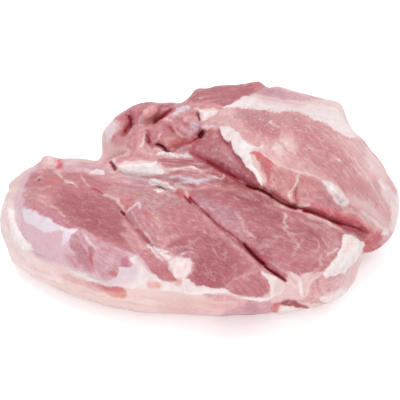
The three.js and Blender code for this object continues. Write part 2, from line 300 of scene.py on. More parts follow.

# ---- Painted areas and lines, in pixels, each over those before it --------------------------------

# The areas of the muscles and the skin, some of them painted shade or painted light. name: (colour,
# softness of the edge in mm, outline)
TONES = {
    "slope of the left lobe": ("pale lilac", 3.0, [
        (13, 204), (17, 190), (24, 176), (34, 169), (60, 172), (95, 190), (125, 213), (148, 244),
        (147, 262), (134, 268), (120, 281), (100, 281), (82, 274), (60, 264), (40, 258), (27, 246),
        (16, 226),
    ]),
    "left lobe": ("muscle", 2.2, [
        (26, 184), (31, 175), (42, 170), (54, 171), (66, 178), (78, 184), (92, 190), (104, 195),
        (116, 202), (124, 213), (131, 224), (139, 235), (147, 245), (156, 256), (150, 257), (140, 254),
        (128, 252), (116, 246), (104, 241), (92, 236), (79, 229), (67, 229), (56, 222), (45, 215),
        (36, 211), (27, 207), (30, 207), (28, 194),
    ]),
    "lilac end of the left lobe": ("light muscle", 4.0, [
        (26, 190), (34, 190), (48, 192), (54, 202), (46, 210), (32, 206), (26, 203),
    ]),
    "middle of the left lobe": ("dark muscle", 4.0, [
        (54, 200), (57, 192), (66, 189), (80, 194), (94, 196), (108, 200), (117, 209), (124, 222),
        (130, 234), (130, 242), (118, 243), (104, 239), (90, 234), (78, 228), (68, 221), (60, 211),
    ]),
    "deepest of the left lobe": ("deepest muscle", 6.0, [
        (66, 202), (90, 202), (108, 214), (122, 232), (120, 242), (98, 236), (78, 224),
    ]),
    "right edge of the left lobe": ("pink muscle", 2.0, [
        (121, 209), (126, 218), (134, 228), (142, 240), (150, 250), (147, 253), (138, 244), (130, 232),
        (123, 221),
    ]),
    "top of the left lobe": ("muscle", 2.5, [
        (54, 175), (62, 177), (74, 185), (84, 190), (66, 189), (50, 186), (34, 187), (28, 183),
        (42, 181),
    ]),
    "red part at the top left": ("red muscle", 2.0, [
        (42, 178), (50, 177), (60, 180), (60, 184), (47, 184), (42, 182),
    ]),
    "lower edge of the left lobe": ("plum", 1.6, [
        (38, 211), (50, 209), (61, 214), (70, 225), (66, 228), (56, 222), (46, 215),
    ]),
    "streaks below the left lobe": ("dull lilac", 3.5, [
        (70, 237), (77, 231), (88, 236), (95, 247), (97, 260), (92, 272), (84, 266), (76, 254),
    ]),
    "red streak below the left lobe": ("red muscle", 1.4, [
        (91, 254), (94, 256), (94, 265), (91, 266), (89, 260),
    ]),
    "purple below the left lobe": ("lilac", 2.5, [
        (82, 232), (96, 237), (106, 243), (114, 249), (106, 251), (97, 246), (90, 246), (84, 240),
    ]),
    "fold below the left lobe": ("lilac", 1.6, [
        (95, 251), (101, 246), (110, 246), (120, 252), (122, 262), (119, 273), (112, 279), (103, 278),
        (97, 270), (93, 260),
    ]),
    "red bit on the fold": ("muscle", 1.4, [(110, 271), (116, 271), (117, 275), (111, 276)]),
    "flap beside the fold": ("plum", 1.2, [(121, 258), (127, 256), (133, 263), (132, 266), (122, 267)]),
    "lumps at the top left": ("pale muscle", 2.0, [
        (36, 169), (40, 158), (47, 153), (55, 155), (62, 160), (66, 166), (58, 172), (44, 171),
    ]),
    "pale top left lump": ("palest muscle", 2.0, [
        (41, 165), (42, 157), (48, 154), (54, 157), (57, 164), (48, 166),
    ]),
    "orange tip": ("bright red", 1.4, [
        (58, 160), (62, 160), (65, 165), (62, 169), (57, 168), (59, 164),
    ]),
    "strip along the back": ("pink muscle", 2.0, [
        (62, 170), (80, 171), (104, 175), (118, 171), (140, 172), (160, 174), (180, 178), (205, 180),
        (225, 180), (244, 192), (226, 190), (206, 190), (190, 196), (170, 193), (150, 188), (130, 187),
        (112, 186), (96, 186), (80, 182), (68, 178),
    ]),
    "membrane at the top left": ("lilac", 2.5, [
        (62, 160), (84, 157), (104, 163), (112, 170), (108, 177), (98, 177), (88, 171), (70, 171),
    ]),
    "pale membrane at the top left": ("palest muscle", 2.0, [
        (64, 159), (84, 155), (104, 160), (102, 165), (84, 162), (68, 163),
    ]),
    "muscle above the left lobe": ("muscle", 1.5, [
        (62, 173), (74, 173), (88, 175), (98, 180), (110, 183), (113, 189), (108, 194), (98, 192),
        (88, 190), (76, 185),
    ]),
    "dark part of the strip": ("lilac", 2.0, [
        (122, 180), (140, 180), (154, 185), (150, 192), (136, 192), (123, 188),
    ]),
    "membrane of the strip": ("pale lilac", 1.6, [
        (120, 174), (140, 174), (152, 179), (138, 179), (122, 178),
    ]),
    "middle lobe": ("light muscle", 2.2, [
        (106, 189), (124, 183), (140, 187), (156, 192), (170, 195), (184, 199), (196, 206), (208, 214),
        (222, 227), (238, 241), (250, 253), (264, 266), (271, 274), (271, 290), (262, 297), (246, 297),
        (232, 293), (222, 286), (206, 286), (194, 284), (190, 278), (195, 266), (186, 257), (172, 256),
        (160, 252), (150, 246), (140, 236), (132, 222), (126, 212), (118, 202), (110, 195),
    ]),
    "grey top of the middle lobe": ("grey muscle", 4.0, [
        (130, 192), (150, 192), (168, 198), (184, 206), (190, 218), (172, 226), (152, 212),
    ]),
    "dark top of the middle lobe": ("muscle", 4.0, [
        (164, 206), (184, 206), (200, 216), (204, 230), (190, 236), (172, 230), (160, 216),
    ]),
    "middle of the middle lobe": ("deep muscle", 3.0, [
        (170, 240), (186, 236), (206, 227), (224, 236), (240, 250), (250, 264), (240, 274), (224, 287),
        (206, 288), (194, 286), (188, 278), (195, 266), (188, 256), (176, 253),
    ]),
    "deepest of the middle lobe": ("deepest muscle", 3.5, [
        (204, 236), (216, 236), (230, 250), (230, 268), (218, 284), (202, 284), (194, 274), (196, 262),
        (206, 252),
    ]),
    "dark patch above the lump": ("deepest muscle", 2.0, [
        (166, 246), (176, 242), (186, 245), (186, 254), (176, 254),
    ]),
    "tip of the middle lobe": ("muscle", 1.6, [
        (223, 290), (231, 282), (246, 276), (258, 271), (268, 275), (271, 284), (270, 292), (262, 297),
        (246, 296), (234, 294),
    ]),
    "left side of the middle lobe": ("light muscle", 2.5, [
        (127, 212), (136, 208), (144, 213), (152, 226), (158, 238), (166, 248), (174, 252), (164, 254),
        (154, 247), (145, 238), (136, 226),
    ]),
    "pale left side of the middle lobe": ("plum", 2.0, [
        (134, 208), (142, 208), (150, 218), (154, 228), (148, 230), (140, 220),
    ]),
    "wedge under the middle lobe": ("muscle", 1.4, [
        (140, 254), (148, 248), (156, 257), (164, 262), (170, 270), (176, 280), (171, 282), (160, 278),
        (150, 270), (144, 262),
    ]),
    "lilac beside the first cleft": ("dull lilac", 1.5, [
        (128, 213), (133, 214), (138, 222), (136, 226), (130, 220),
    ]),
    "low lilac beside the first cleft": ("dull lilac", 1.5, [
        (140, 231), (147, 234), (153, 240), (158, 247), (150, 244), (143, 238),
    ]),
    "red above the crooked membrane": ("red muscle", 1.6, [
        (120, 200), (127, 199), (133, 203), (129, 209), (124, 207),
    ]),
    "red bit of the middle lobe": ("red muscle", 1.4, [(143, 211), (149, 212), (151, 217), (145, 217)]),
    "right lobe": ("muscle", 2.2, [
        (186, 197), (198, 186), (220, 184), (240, 190), (262, 198), (280, 206), (300, 212), (322, 221),
        (338, 230), (344, 236), (343, 246), (337, 256), (327, 267), (318, 273), (304, 276), (290, 271),
        (284, 278), (272, 270), (258, 256), (244, 242), (228, 226), (210, 212), (196, 203),
    ]),
    "top of the right lobe": ("deep muscle", 3.5, [
        (216, 188), (240, 192), (262, 200), (280, 208), (287, 222), (282, 234), (268, 236), (254, 226),
        (242, 212), (230, 202),
    ]),
    "left slope of the right lobe": ("dull lilac", 4.0, [
        (196, 196), (212, 201), (228, 207), (238, 213), (240, 224), (247, 230), (256, 237), (265, 245),
        (268, 258), (262, 262), (248, 247), (236, 234), (222, 223), (208, 212), (196, 204),
    ]),
    "shade on the left slope": ("deep muscle", 2.5, [
        (240, 232), (252, 238), (262, 248), (276, 258), (284, 268), (276, 268), (262, 258), (248, 244),
    ]),
    "right part of the right lobe": ("light muscle", 3.0, [
        (300, 218), (322, 226), (336, 234), (340, 244), (336, 252), (326, 246), (308, 234),
    ]),
    "dark middle of the right lobe": ("deep muscle", 4.0, [
        (284, 232), (298, 230), (310, 242), (306, 256), (288, 258), (274, 248),
    ]),
    "middle of the right lobe": ("deep muscle", 5.0, [
        (290, 228), (304, 226), (324, 236), (330, 244), (316, 250), (300, 246), (290, 238),
    ]),
    "mottled left of the right lobe": ("plum", 4.0, [
        (262, 242), (276, 244), (290, 256), (288, 266), (278, 262), (266, 252),
    ]),
    "dark upper left of the right lobe": ("deep muscle", 3.0, [
        (250, 228), (262, 230), (272, 238), (268, 246), (256, 240), (246, 232),
    ]),
    "band under the second cleft's end": ("pale muscle", 2.0, [
        (270, 262), (277, 266), (283, 272), (279, 272), (272, 267),
    ]),
    "lower part of the right lobe": ("muscle", 3.0, [
        (276, 252), (296, 252), (318, 262), (314, 272), (300, 275), (286, 268),
    ]),
    "end of the right lobe": ("palest muscle", 2.2, [
        (296, 278), (322, 271), (336, 269), (352, 260), (360, 256), (357, 268), (350, 284), (340, 294),
        (320, 296), (306, 297), (300, 290),
    ]),
    "middle of the right lobe's end": ("pale muscle", 2.5, [
        (312, 282), (326, 274), (340, 272), (346, 280), (334, 290), (318, 294), (310, 290),
    ]),
    "end under the cap": ("pale muscle", 2.0, [
        (300, 292), (312, 292), (322, 294), (320, 301), (306, 302),
    ]),
    "pink under the cleft": ("palest muscle", 1.8, [
        (262, 297), (270, 290), (280, 284), (288, 282), (296, 290), (302, 296), (300, 301), (290, 300),
        (280, 305), (271, 307),
    ]),
    "dark spot at the bottom": ("dark red", 1.2, [
        (279, 304), (284, 300), (290, 299), (298, 301), (304, 304), (308, 307), (300, 307), (290, 306),
    ]),
    "mauve skin": ("mauve", 2.4, [
        (214, 317), (226, 308), (236, 301), (250, 299), (266, 300), (274, 306), (268, 314), (240, 318),
    ]),
    "red bit at the bottom": ("red muscle", 1.2, [
        (274, 303), (279, 302), (278, 309), (273, 312), (271, 307),
    ]),
    "red patch on the skin": ("red muscle", 1.6, [
        (89, 282), (101, 285), (112, 285), (122, 287), (127, 293), (121, 297), (107, 293),
    ]),
    "edge of the red patch": ("orange pink", 1.5, [
        (106, 290), (118, 292), (127, 292), (124, 298), (112, 297),
    ]),
    "red flap": ("deep muscle", 1.6, [
        (155, 161), (166, 158), (182, 158), (196, 160), (210, 165), (224, 170), (240, 178), (248, 186),
        (238, 184), (230, 181), (221, 180), (209, 175), (195, 170), (184, 169), (172, 171), (162, 168),
    ]),
    "deep red of the flap": ("red muscle", 2.0, [
        (196, 163), (212, 168), (226, 175), (222, 179), (206, 172),
    ]),
    "band under the flap": ("grey film", 1.6, [
        (150, 173), (166, 174), (180, 175), (196, 173), (210, 178), (204, 184), (180, 181), (160, 179),
    ]),
    "membrane under the flap": ("dull lilac", 1.6, [
        (175, 172), (188, 171), (200, 173), (204, 178), (190, 177), (178, 175),
    ]),
    "dark of the strip": ("grey muscle", 1.6, [
        (112, 184), (126, 186), (140, 190), (150, 194), (140, 196), (122, 191),
    ]),
    "red of the strip's right": ("muscle", 1.6, [
        (190, 186), (204, 184), (222, 184), (236, 190), (214, 190), (198, 192),
    ]),
    "torn red lump": ("red muscle", 2.0, [
        (170, 188), (176, 186), (186, 189), (192, 196), (190, 203), (182, 199),
    ]),
    "top of the torn red lump": ("pink muscle", 1.4, [(178, 187), (188, 186), (192, 191), (186, 192)]),
    "knob": ("light muscle", 2.2, [
        (96, 164), (100, 142), (105, 128), (111, 120), (125, 110), (140, 101), (165, 101), (186, 102),
        (196, 108), (201, 120), (202, 132), (196, 141), (184, 148), (170, 152), (164, 157), (150, 158),
        (136, 159), (122, 161), (112, 163),
    ]),
    "rear of the knob": ("deep muscle", 2.5, [
        (126, 112), (140, 101), (156, 101), (149, 110), (142, 120), (136, 132), (130, 122),
    ]),
    "left side of the knob": ("palest muscle", 2.0, [
        (103, 131), (110, 121), (118, 121), (118, 130), (112, 138), (107, 148), (100, 160), (101, 144),
    ]),
    "red wall of the slit": ("red muscle", 1.0, [
        (119, 118), (126, 113), (131, 116), (131, 125), (127, 131), (120, 138), (118, 134), (123, 127),
        (124, 121),
    ]),
    "wall of the pocket": ("light pink muscle", 1.5, [
        (139, 121), (142, 113), (149, 108), (158, 106), (166, 107), (162, 114), (155, 120), (149, 124),
    ]),
    "lip of the pocket": ("pale muscle", 1.2, [
        (140, 119), (144, 111), (152, 106), (150, 109), (145, 116), (144, 123),
    ]),
    "front of the knob": ("pink muscle", 2.5, [
        (112, 142), (128, 134), (142, 138), (140, 152), (124, 158), (110, 156),
    ]),
    # Painted light: lighter than the meat, to offset the shade on the knob's left front.
    "painted light on the knob's left front": ("bright pink", 5.0, [
        (101, 148), (108, 143), (118, 146), (128, 150), (124, 156), (112, 160), (98, 163),
    ]),
    "middle of the knob": ("muscle", 2.0, [
        (150, 128), (160, 121), (168, 126), (174, 136), (164, 142), (152, 140),
    ]),
    "dull part of the knob": ("light pink muscle", 2.5, [
        (168, 138), (180, 140), (184, 146), (172, 150), (164, 146),
    ]),
    "right bulge of the knob": ("deep muscle", 1.8, [
        (174, 122), (182, 116), (190, 110), (197, 113), (199, 124), (197, 134), (190, 137), (180, 132),
    ]),
    "top of the right bulge": ("pink muscle", 2.0, [
        (179, 113), (190, 107), (197, 112), (197, 120), (186, 121),
    ]),
    "side of the right bulge": ("lilac", 1.5, [
        (191, 121), (198, 121), (199, 129), (195, 136), (191, 131),
    ]),
    "fold under the right bulge": ("pink muscle", 1.5, [
        (172, 126), (180, 134), (190, 138), (186, 142), (176, 138),
    ]),
    "red under the right bulge": ("red muscle", 1.6, [
        (174, 138), (186, 140), (194, 136), (198, 139), (192, 143), (182, 147), (172, 150), (167, 146),
    ]),
    "low lump of the knob": ("pale muscle", 1.8, [
        (140, 152), (148, 146), (158, 146), (166, 152), (160, 155), (148, 157),
    ]),
    "strip under the knob": ("lilac", 1.6, [
        (172, 150), (186, 146), (196, 150), (206, 158), (214, 166), (200, 162), (186, 157),
    ]),
    "inner muscle": ("deep muscle", 1.8, [
        (186, 148), (198, 138), (204, 129), (214, 127), (222, 130), (228, 140), (234, 149), (241, 157),
        (247, 168), (255, 174), (260, 182), (268, 190), (256, 189), (246, 184), (236, 178), (224, 170),
        (210, 162), (196, 156),
    ]),
    "plum part of the inner muscle": ("plum", 3.0, [
        (226, 148), (236, 152), (245, 163), (250, 173), (243, 175), (232, 164),
    ]),
    "purple of the inner muscle": ("plum", 2.5, [
        (222, 152), (234, 151), (243, 160), (248, 170), (258, 180), (250, 180), (236, 172), (224, 162),
    ]),
    "back muscle": ("dark muscle", 1.8, [
        (182, 102), (190, 94), (197, 89), (208, 87), (225, 84), (246, 83), (258, 81), (267, 88),
        (255, 92), (244, 97), (236, 102), (224, 108), (208, 107), (196, 105),
    ]),
    "grey of the back muscle": ("deep muscle", 3.0, [
        (206, 92), (226, 87), (244, 86), (240, 94), (220, 98), (206, 98),
    ]),
    "red tip of the back muscle": ("red muscle", 1.5, [(252, 84), (258, 82), (263, 88), (256, 90)]),
    "pink edge of the back muscle": ("pink muscle", 1.6, [
        (184, 103), (196, 101), (214, 103), (223, 107), (206, 108), (194, 106),
    ]),
    "film of the back muscle": ("lilac", 2.0, [
        (258, 93), (266, 89), (274, 86), (282, 88), (300, 93), (322, 99), (304, 101), (284, 99),
        (268, 98),
    ]),
    "outer muscle": ("light pink muscle", 2.6, [
        (200, 124), (206, 118), (216, 111), (228, 108), (250, 107), (284, 111), (305, 113), (330, 127),
        (350, 137), (364, 140), (378, 156), (390, 180), (400, 198), (398, 212), (392, 234), (380, 230),
        (364, 215), (348, 206), (338, 192), (322, 180), (300, 172), (284, 166), (262, 152), (244, 139),
        (230, 132), (210, 129),
    ]),
    "top of the outer muscle": ("light muscle", 5.0, [
        (238, 111), (258, 108), (284, 111), (306, 117), (330, 129), (346, 142), (330, 142), (306, 132),
        (280, 126), (254, 124),
    ]),
    "left of the outer muscle": ("pale muscle", 4.0, [
        (203, 123), (218, 113), (236, 111), (244, 120), (252, 134), (238, 133), (220, 127),
    ]),
    "dark of the outer muscle's upper left": ("muscle", 6.0, [
        (244, 118), (262, 116), (278, 126), (280, 140), (262, 136), (248, 128),
    ]),
    "grey top of the outer muscle": ("dull lilac", 6.0, [
        (234, 112), (250, 111), (268, 117), (262, 122), (244, 119),
    ]),
    "middle of the outer muscle": ("light muscle", 6.0, [
        (292, 132), (320, 140), (350, 158), (362, 178), (366, 198), (350, 194), (326, 174), (300, 158),
        (286, 146),
    ]),
    "dark middle of the outer muscle": ("muscle", 8.0, [
        (296, 122), (312, 129), (330, 145), (346, 164), (336, 163), (318, 149), (302, 137),
    ]),
    "front of the outer muscle": ("pale muscle", 4.0, [
        (252, 150), (268, 147), (284, 152), (304, 164), (326, 178), (310, 174), (288, 166), (266, 154),
    ]),
    "pale front of the outer muscle": ("pale muscle", 2.5, [
        (252, 151), (266, 146), (280, 151), (274, 158), (264, 153),
    ]),
    "right of the outer muscle": ("pale muscle", 6.0, [
        (336, 132), (360, 140), (380, 158), (394, 184), (402, 200), (398, 214), (390, 222), (380, 204),
        (368, 186), (352, 160),
    ]),
    # Film with a painted highlight along the outer muscle's right rim.
    "film and painted highlight of the outer muscle's right rim": ("bright skin", 2.5, [
        (381, 180), (388, 186), (398, 196), (402, 206), (402, 218), (396, 232), (389, 231), (392, 214),
        (386, 200), (381, 190),
    ]),
    "edge of the outer muscle": ("palest muscle", 3.0, [
        (366, 148), (373, 152), (383, 166), (386, 180), (378, 178), (369, 164),
    ]),
    "pale middle of the outer muscle": ("palest muscle", 4.0, [
        (276, 140), (290, 136), (297, 147), (288, 153), (276, 150),
    ]),
    "low right of the outer muscle": ("palest muscle", 5.0, [
        (352, 196), (362, 198), (374, 206), (386, 220), (390, 234), (378, 224), (362, 211), (352, 204),
    ]),
    "cut face": ("light pink muscle", 1.6, [
        (256, 151), (266, 156), (276, 164), (296, 171), (310, 175), (324, 180), (337, 188), (344, 199),
        (360, 208), (374, 218), (382, 226), (388, 234), (380, 238), (366, 233), (350, 225), (330, 220),
        (314, 214), (300, 211), (288, 207), (276, 199), (268, 190), (263, 178), (259, 166),
    ]),
    "dark part of the cut face": ("pink muscle", 2.2, [
        (264, 168), (274, 168), (290, 174), (294, 184), (290, 194), (290, 203), (278, 196), (268, 186),
    ]),
    "bright part of the cut face": ("bright red", 1.5, [
        (250, 153), (257, 151), (265, 155), (272, 163), (270, 170), (264, 166), (258, 158),
    ]),
    "pink front of the cut face": ("red muscle", 2.0, [
        (255, 154), (262, 157), (268, 163), (270, 175), (268, 186), (265, 180), (261, 170), (257, 162),
    ]),
    "red streak of the cut face": ("red muscle", 1.4, [
        (266, 168), (270, 172), (271, 184), (269, 188), (267, 178),
    ]),
    "piece on the cut face": ("pink muscle", 1.4, [
        (299, 179), (310, 177), (320, 184), (315, 198), (311, 207), (299, 209), (296, 203), (300, 190),
    ]),
    "pale part of the cut face": ("light muscle", 2.0, [
        (318, 182), (330, 184), (338, 194), (348, 205), (336, 205), (322, 198), (316, 190),
    ]),
    "lower part of the cut face": ("pink muscle", 1.8, [
        (314, 206), (334, 209), (350, 213), (366, 220), (379, 229), (366, 227), (346, 222), (328, 218),
    ]),
    "bright end of the cut face": ("salmon", 2.5, [
        (344, 206), (356, 210), (368, 217), (380, 228), (374, 230), (364, 224), (352, 216), (344, 212),
    ]),
    "lilac part of the cut face": ("plum", 1.8, [
        (312, 206), (316, 199), (326, 199), (338, 204), (344, 209), (338, 212), (326, 210),
    ]),
    "lower side of the cut face": ("dark red", 1.2, [
        (302, 207), (312, 207), (326, 211), (340, 214), (352, 218), (362, 223), (371, 229), (372, 233),
        (362, 230), (346, 225), (330, 219), (316, 213), (304, 210),
    ]),
    "fat knob of the torn edge": ("white", 1.6, [
        (321, 181), (333, 184), (341, 191), (348, 203), (342, 206), (335, 200), (328, 190),
    ]),
    "hanging end": ("red muscle", 3.0, [
        (360, 240), (370, 231), (384, 234), (390, 240), (388, 248), (378, 253), (366, 253), (362, 247),
    ]),
    # Painted shade under the hanging end.
    "painted shade under the hanging end": ("dark red", 2.2, [
        (332, 221), (348, 223), (364, 229), (372, 233), (366, 240), (354, 235), (342, 230),
    ]),
    "dark side of the hanging end": ("lip red", 2.4, [
        (360, 240), (368, 232), (373, 235), (370, 246), (364, 252), (360, 246),
    ]),
    "right of the hanging end": ("pale muscle", 2.0, [
        (383, 236), (392, 231), (391, 243), (384, 248), (381, 243),
    ]),
    "darker skin in front": ("pink skin", 4.0, [
        (160, 299), (190, 299), (226, 300), (244, 303), (230, 310), (214, 316), (180, 316), (160, 308),
    ]),
    "pink under the rim": ("pale muscle", 3.0, [
        (206, 293), (224, 295), (244, 300), (240, 304), (222, 300), (206, 297),
    ]),
    "bright skin at the left": ("bright skin", 4.0, [
        (0, 205), (14, 205), (22, 240), (40, 262), (66, 278), (44, 282), (14, 264), (0, 240),
    ]),
}

# Soft bands, some of them painted shade or painted light. All but the white ones also take off the fat
# and film below them.
# name: (colour, width in pixels, softness of its edges in pixels, strength from 0 to 1, line)
BANDS = {
    "pale end of the right lobe": ("palest muscle", 4.0, 3.0, 0.5, [(334, 282), (346, 280)]),
    "plum at the left lobe's low edge": ("plum", 4.0, 3.0, 0.5, [(66, 256), (76, 262), (88, 268)]),
    "dull edge above the back's band": ("dull lilac", 2.6, 2.2, 0.6, [(256, 90), (270, 92), (285, 96)]),
    "dull low end of the skin": ("dull lilac", 4.0, 3.5, 0.7, [(245, 307), (256, 308)]),
    "pink low in the skin": ("pale muscle", 5.0, 4.0, 0.7, [(212, 303), (228, 304), (240, 305)]),
    "low lilac patch of the right lobe": ("dull lilac", 3.0, 2.5, 0.7, [
        (269, 257), (274, 262), (280, 268),
    ]),
    "lilac patch of the right lobe": ("dull lilac", 3.5, 2.5, 0.8, [
        (256, 246), (262, 251), (266, 247), (271, 241),
    ]),
    "muscle above the crooked membrane": ("muscle", 2.5, 2.0, 0.5, [(123, 199), (130, 204)]),
    "muscle low in the right lobe": ("deepest muscle", 3.4, 2.5, 0.85, [(264, 251), (271, 257)]),
    "muscle left in the right lobe": ("deepest muscle", 3.4, 2.5, 0.85, [(259, 236), (264, 243)]),
    "pale strip above the cap": ("pale muscle", 1.2, 1.0, 0.8, [(344, 231), (352, 234), (361, 238)]),
    "pale low end of the cut face": ("palest muscle", 2.6, 2.5, 0.6, [
        (346, 208), (358, 213), (370, 221), (380, 230),
    ]),
    "pink right of the outer muscle": ("pink muscle", 3.0, 4.0, 0.4, [
        (335, 135), (350, 155), (362, 172),
    ]),
    "deep muscle under the seam": ("deepest muscle", 3.5, 2.5, 0.7, [
        (208, 181), (220, 182), (232, 181), (240, 185),
    ]),
    "deep right of the flap": ("deepest muscle", 3.4, 2.0, 0.8, [(188, 162), (200, 165), (211, 169)]),
    "muscle in the middle of the knob": ("muscle", 2.0, 2.0, 0.5, [(160, 128), (163, 135)]),
    "red under the thread": ("muscle", 2.5, 2.0, 0.7, [(172, 173), (184, 173), (196, 174), (204, 177)]),
    "red of the strip's left": ("deep muscle", 2.0, 2.0, 0.6, [(157, 176), (168, 177), (178, 178)]),
    "deep left of the flap": ("deep muscle", 3.0, 2.0, 0.65, [(164, 164), (178, 164), (190, 163)]),
    "deep side of the inner muscle": ("deepest muscle", 4.0, 3.0, 0.6, [
        (200, 147), (212, 150), (222, 158), (230, 166),
    ]),
    "bright lip of the right bulge": ("bright pink", 2.5, 2.0, 0.6, [
        (181, 126), (186, 130), (191, 134),
    ]),
    "pale side of the right lobe's edge": ("palest muscle", 2.0, 2.0, 0.35, [
        (285, 216), (288, 219), (293, 222),
    ]),
    "red of the slope": ("muscle", 5.0, 4.0, 0.45, [(98, 238), (106, 243), (116, 249), (123, 254)]),
    "pale edge of the left lobe": ("pale muscle", 2.6, 2.5, 0.6, [(124, 233), (130, 241), (137, 250)]),
    "pale edge of the middle lobe": ("light pink muscle", 2.0, 2.5, 0.6, [
        (234, 245), (244, 255), (254, 265),
    ]),
    "muscle right of the slit": ("muscle", 3.0, 2.5, 0.7, [(135, 125), (141, 132), (147, 127)]),
    "pink of the skin's upper edge": ("light pink muscle", 2.5, 2.5, 0.6, [
        (62, 276), (84, 283), (100, 289),
    ]),
    "red left of the piece": ("dark red", 1.8, 1.2, 0.9, [(297, 187), (296, 195), (297, 203)]),
    "pink fringe of the back strip": ("pink muscle", 2.0, 1.2, 0.9, [
        (118, 161), (130, 160), (145, 159), (156, 159),
    ]),
    "deep middle of the flap": ("deepest muscle", 3.0, 2.5, 0.7, [(190, 162), (204, 166), (216, 171)]),
    "plum left of the slit": ("plum", 1.5, 1.5, 0.2, [(113, 119), (117, 124), (116, 130)]),
    "red wall beside the slit": ("deep red", 2.0, 1.4, 0.9, [(127, 114), (128, 122), (125, 129)]),
    "red left of the pocket's crease": ("lip red", 2.0, 2.0, 0.7, [(150, 121), (156, 115), (163, 109)]),
    # Painted shade on the right side of the pocket.
    "painted shade right of the pocket": ("deepest muscle", 2.6, 1.8, 0.9, [(157, 110), (163, 106), (171, 103)]),
    "pale edge at the top left": ("pale muscle", 1.5, 1.5, 0.7, [(38, 171), (45, 172), (52, 173)]),
    # Painted shade under the hanging end.
    "painted shade under the hanging end": ("dark red", 3.0, 2.5, 0.75, [
        (345, 229), (352, 231), (359, 234), (366, 238),
    ]),
    "bright side of the second cleft": ("light muscle", 1.2, 1.2, 0.6, [
        (268, 262), (274, 266), (280, 272),
    ]),
    # Painted shade on the wall right of the second cleft.
    "painted shade right of the second cleft": ("deep red", 2.0, 2.0, 0.8, [
        (249, 248), (255, 254), (261, 260), (265, 264),
    ]),
    # Painted light: lighter than the meat, to offset the shade on the knob's foot.
    "painted light on the knob's foot": ("bright pink", 2.5, 3.0, 0.8, [(114, 153), (120, 151), (128, 152)]),
    "lilac right of the hole": ("pale lilac", 1.8, 1.4, 0.8, [(191, 136), (193, 131)]),
    # Painted light: lighter than the meat, to offset the shade in the pocket.
    "painted light beside the pocket": ("bright pink", 3.2, 2.2, 0.95, [(141, 124), (143, 118), (147, 112)]),
    # Painted light: whiter than the fat, to offset the shade in the valley of the creamy lumps.
    "painted light on the creamy lumps": ("white", 2.2, 1.6, 0.9, [(151, 182), (160, 184), (170, 187)]),
    # Painted light on the lit lip of the pocket.
    "painted light on the pocket's lip": ("salmon", 3.0, 2.2, 0.85, [(146, 121), (149, 115), (155, 110)]),
    "shadow left of the lump": ("deepest muscle", 1.0, 1.0, 0.3, [
        (161, 262), (166, 266), (169, 273), (173, 280),
    ]),
    "red above the lump": ("deepest muscle", 1.5, 1.5, 0.9, [(182, 256), (189, 257), (195, 261)]),
    # Dark red muscle with painted shade beside the seam, under the outer muscle.
    "dark red and painted shade of the inner muscle": ("dark red", 5.5, 4.5, 0.95, [
        (213, 155), (221, 160), (229, 166), (238, 172), (245, 178), (252, 184),
    ]),
    "red side of the seam's upper end": ("deep muscle", 2.0, 2.0, 0.8, [
        (196, 156), (206, 162), (216, 168), (228, 174),
    ]),
    # Painted shade below the seam.
    "painted shade below the seam": ("dark red", 2.6, 2.6, 0.7, [
        (214, 174), (226, 180), (238, 187), (250, 193), (262, 198), (272, 203),
    ]),
    "red side of the cut face": ("wet red", 3.6, 1.6, 0.95, [
        (302, 209), (308, 210), (320, 213), (334, 217), (348, 222), (360, 226),
    ]),
    "red above the cut face's seam": ("dark red", 2.2, 1.6, 0.9, [
        (272, 191), (276, 194), (284, 200), (292, 204), (297, 207),
    ]),
    "red of the knob's cut": ("blood red", 2.4, 1.4, 0.95, [
        (146, 131), (148, 137), (151, 144), (154, 146),
    ]),
    "shade of the pocket": ("blood red", 1.6, 2.2, 0.85, [
        (152, 124), (158, 119), (165, 114), (173, 108),
    ]),
    "shade of the slit": ("blood red", 1.4, 1.6, 0.85, [
        (129, 113), (131, 120), (129, 127), (122, 136),
    ]),
    "red below the right bulge": ("lip red", 1.6, 1.8, 0.8, [(176, 139), (184, 141), (194, 139)]),
    "red lip of the cut face": ("lip red", 1.4, 1.6, 0.8, [
        (306, 206), (320, 208), (334, 212), (348, 216), (362, 221),
    ]),
    "red of the cut face's middle": ("bright red", 1.5, 2.0, 0.5, [
        (290, 176), (293, 186), (292, 196), (298, 202),
    ]),
    "red beside the second cleft": ("deep muscle", 1.5, 2.0, 0.3, [
        (206, 210), (218, 221), (230, 232), (244, 245), (258, 259), (270, 268), (282, 278),
    ]),
}
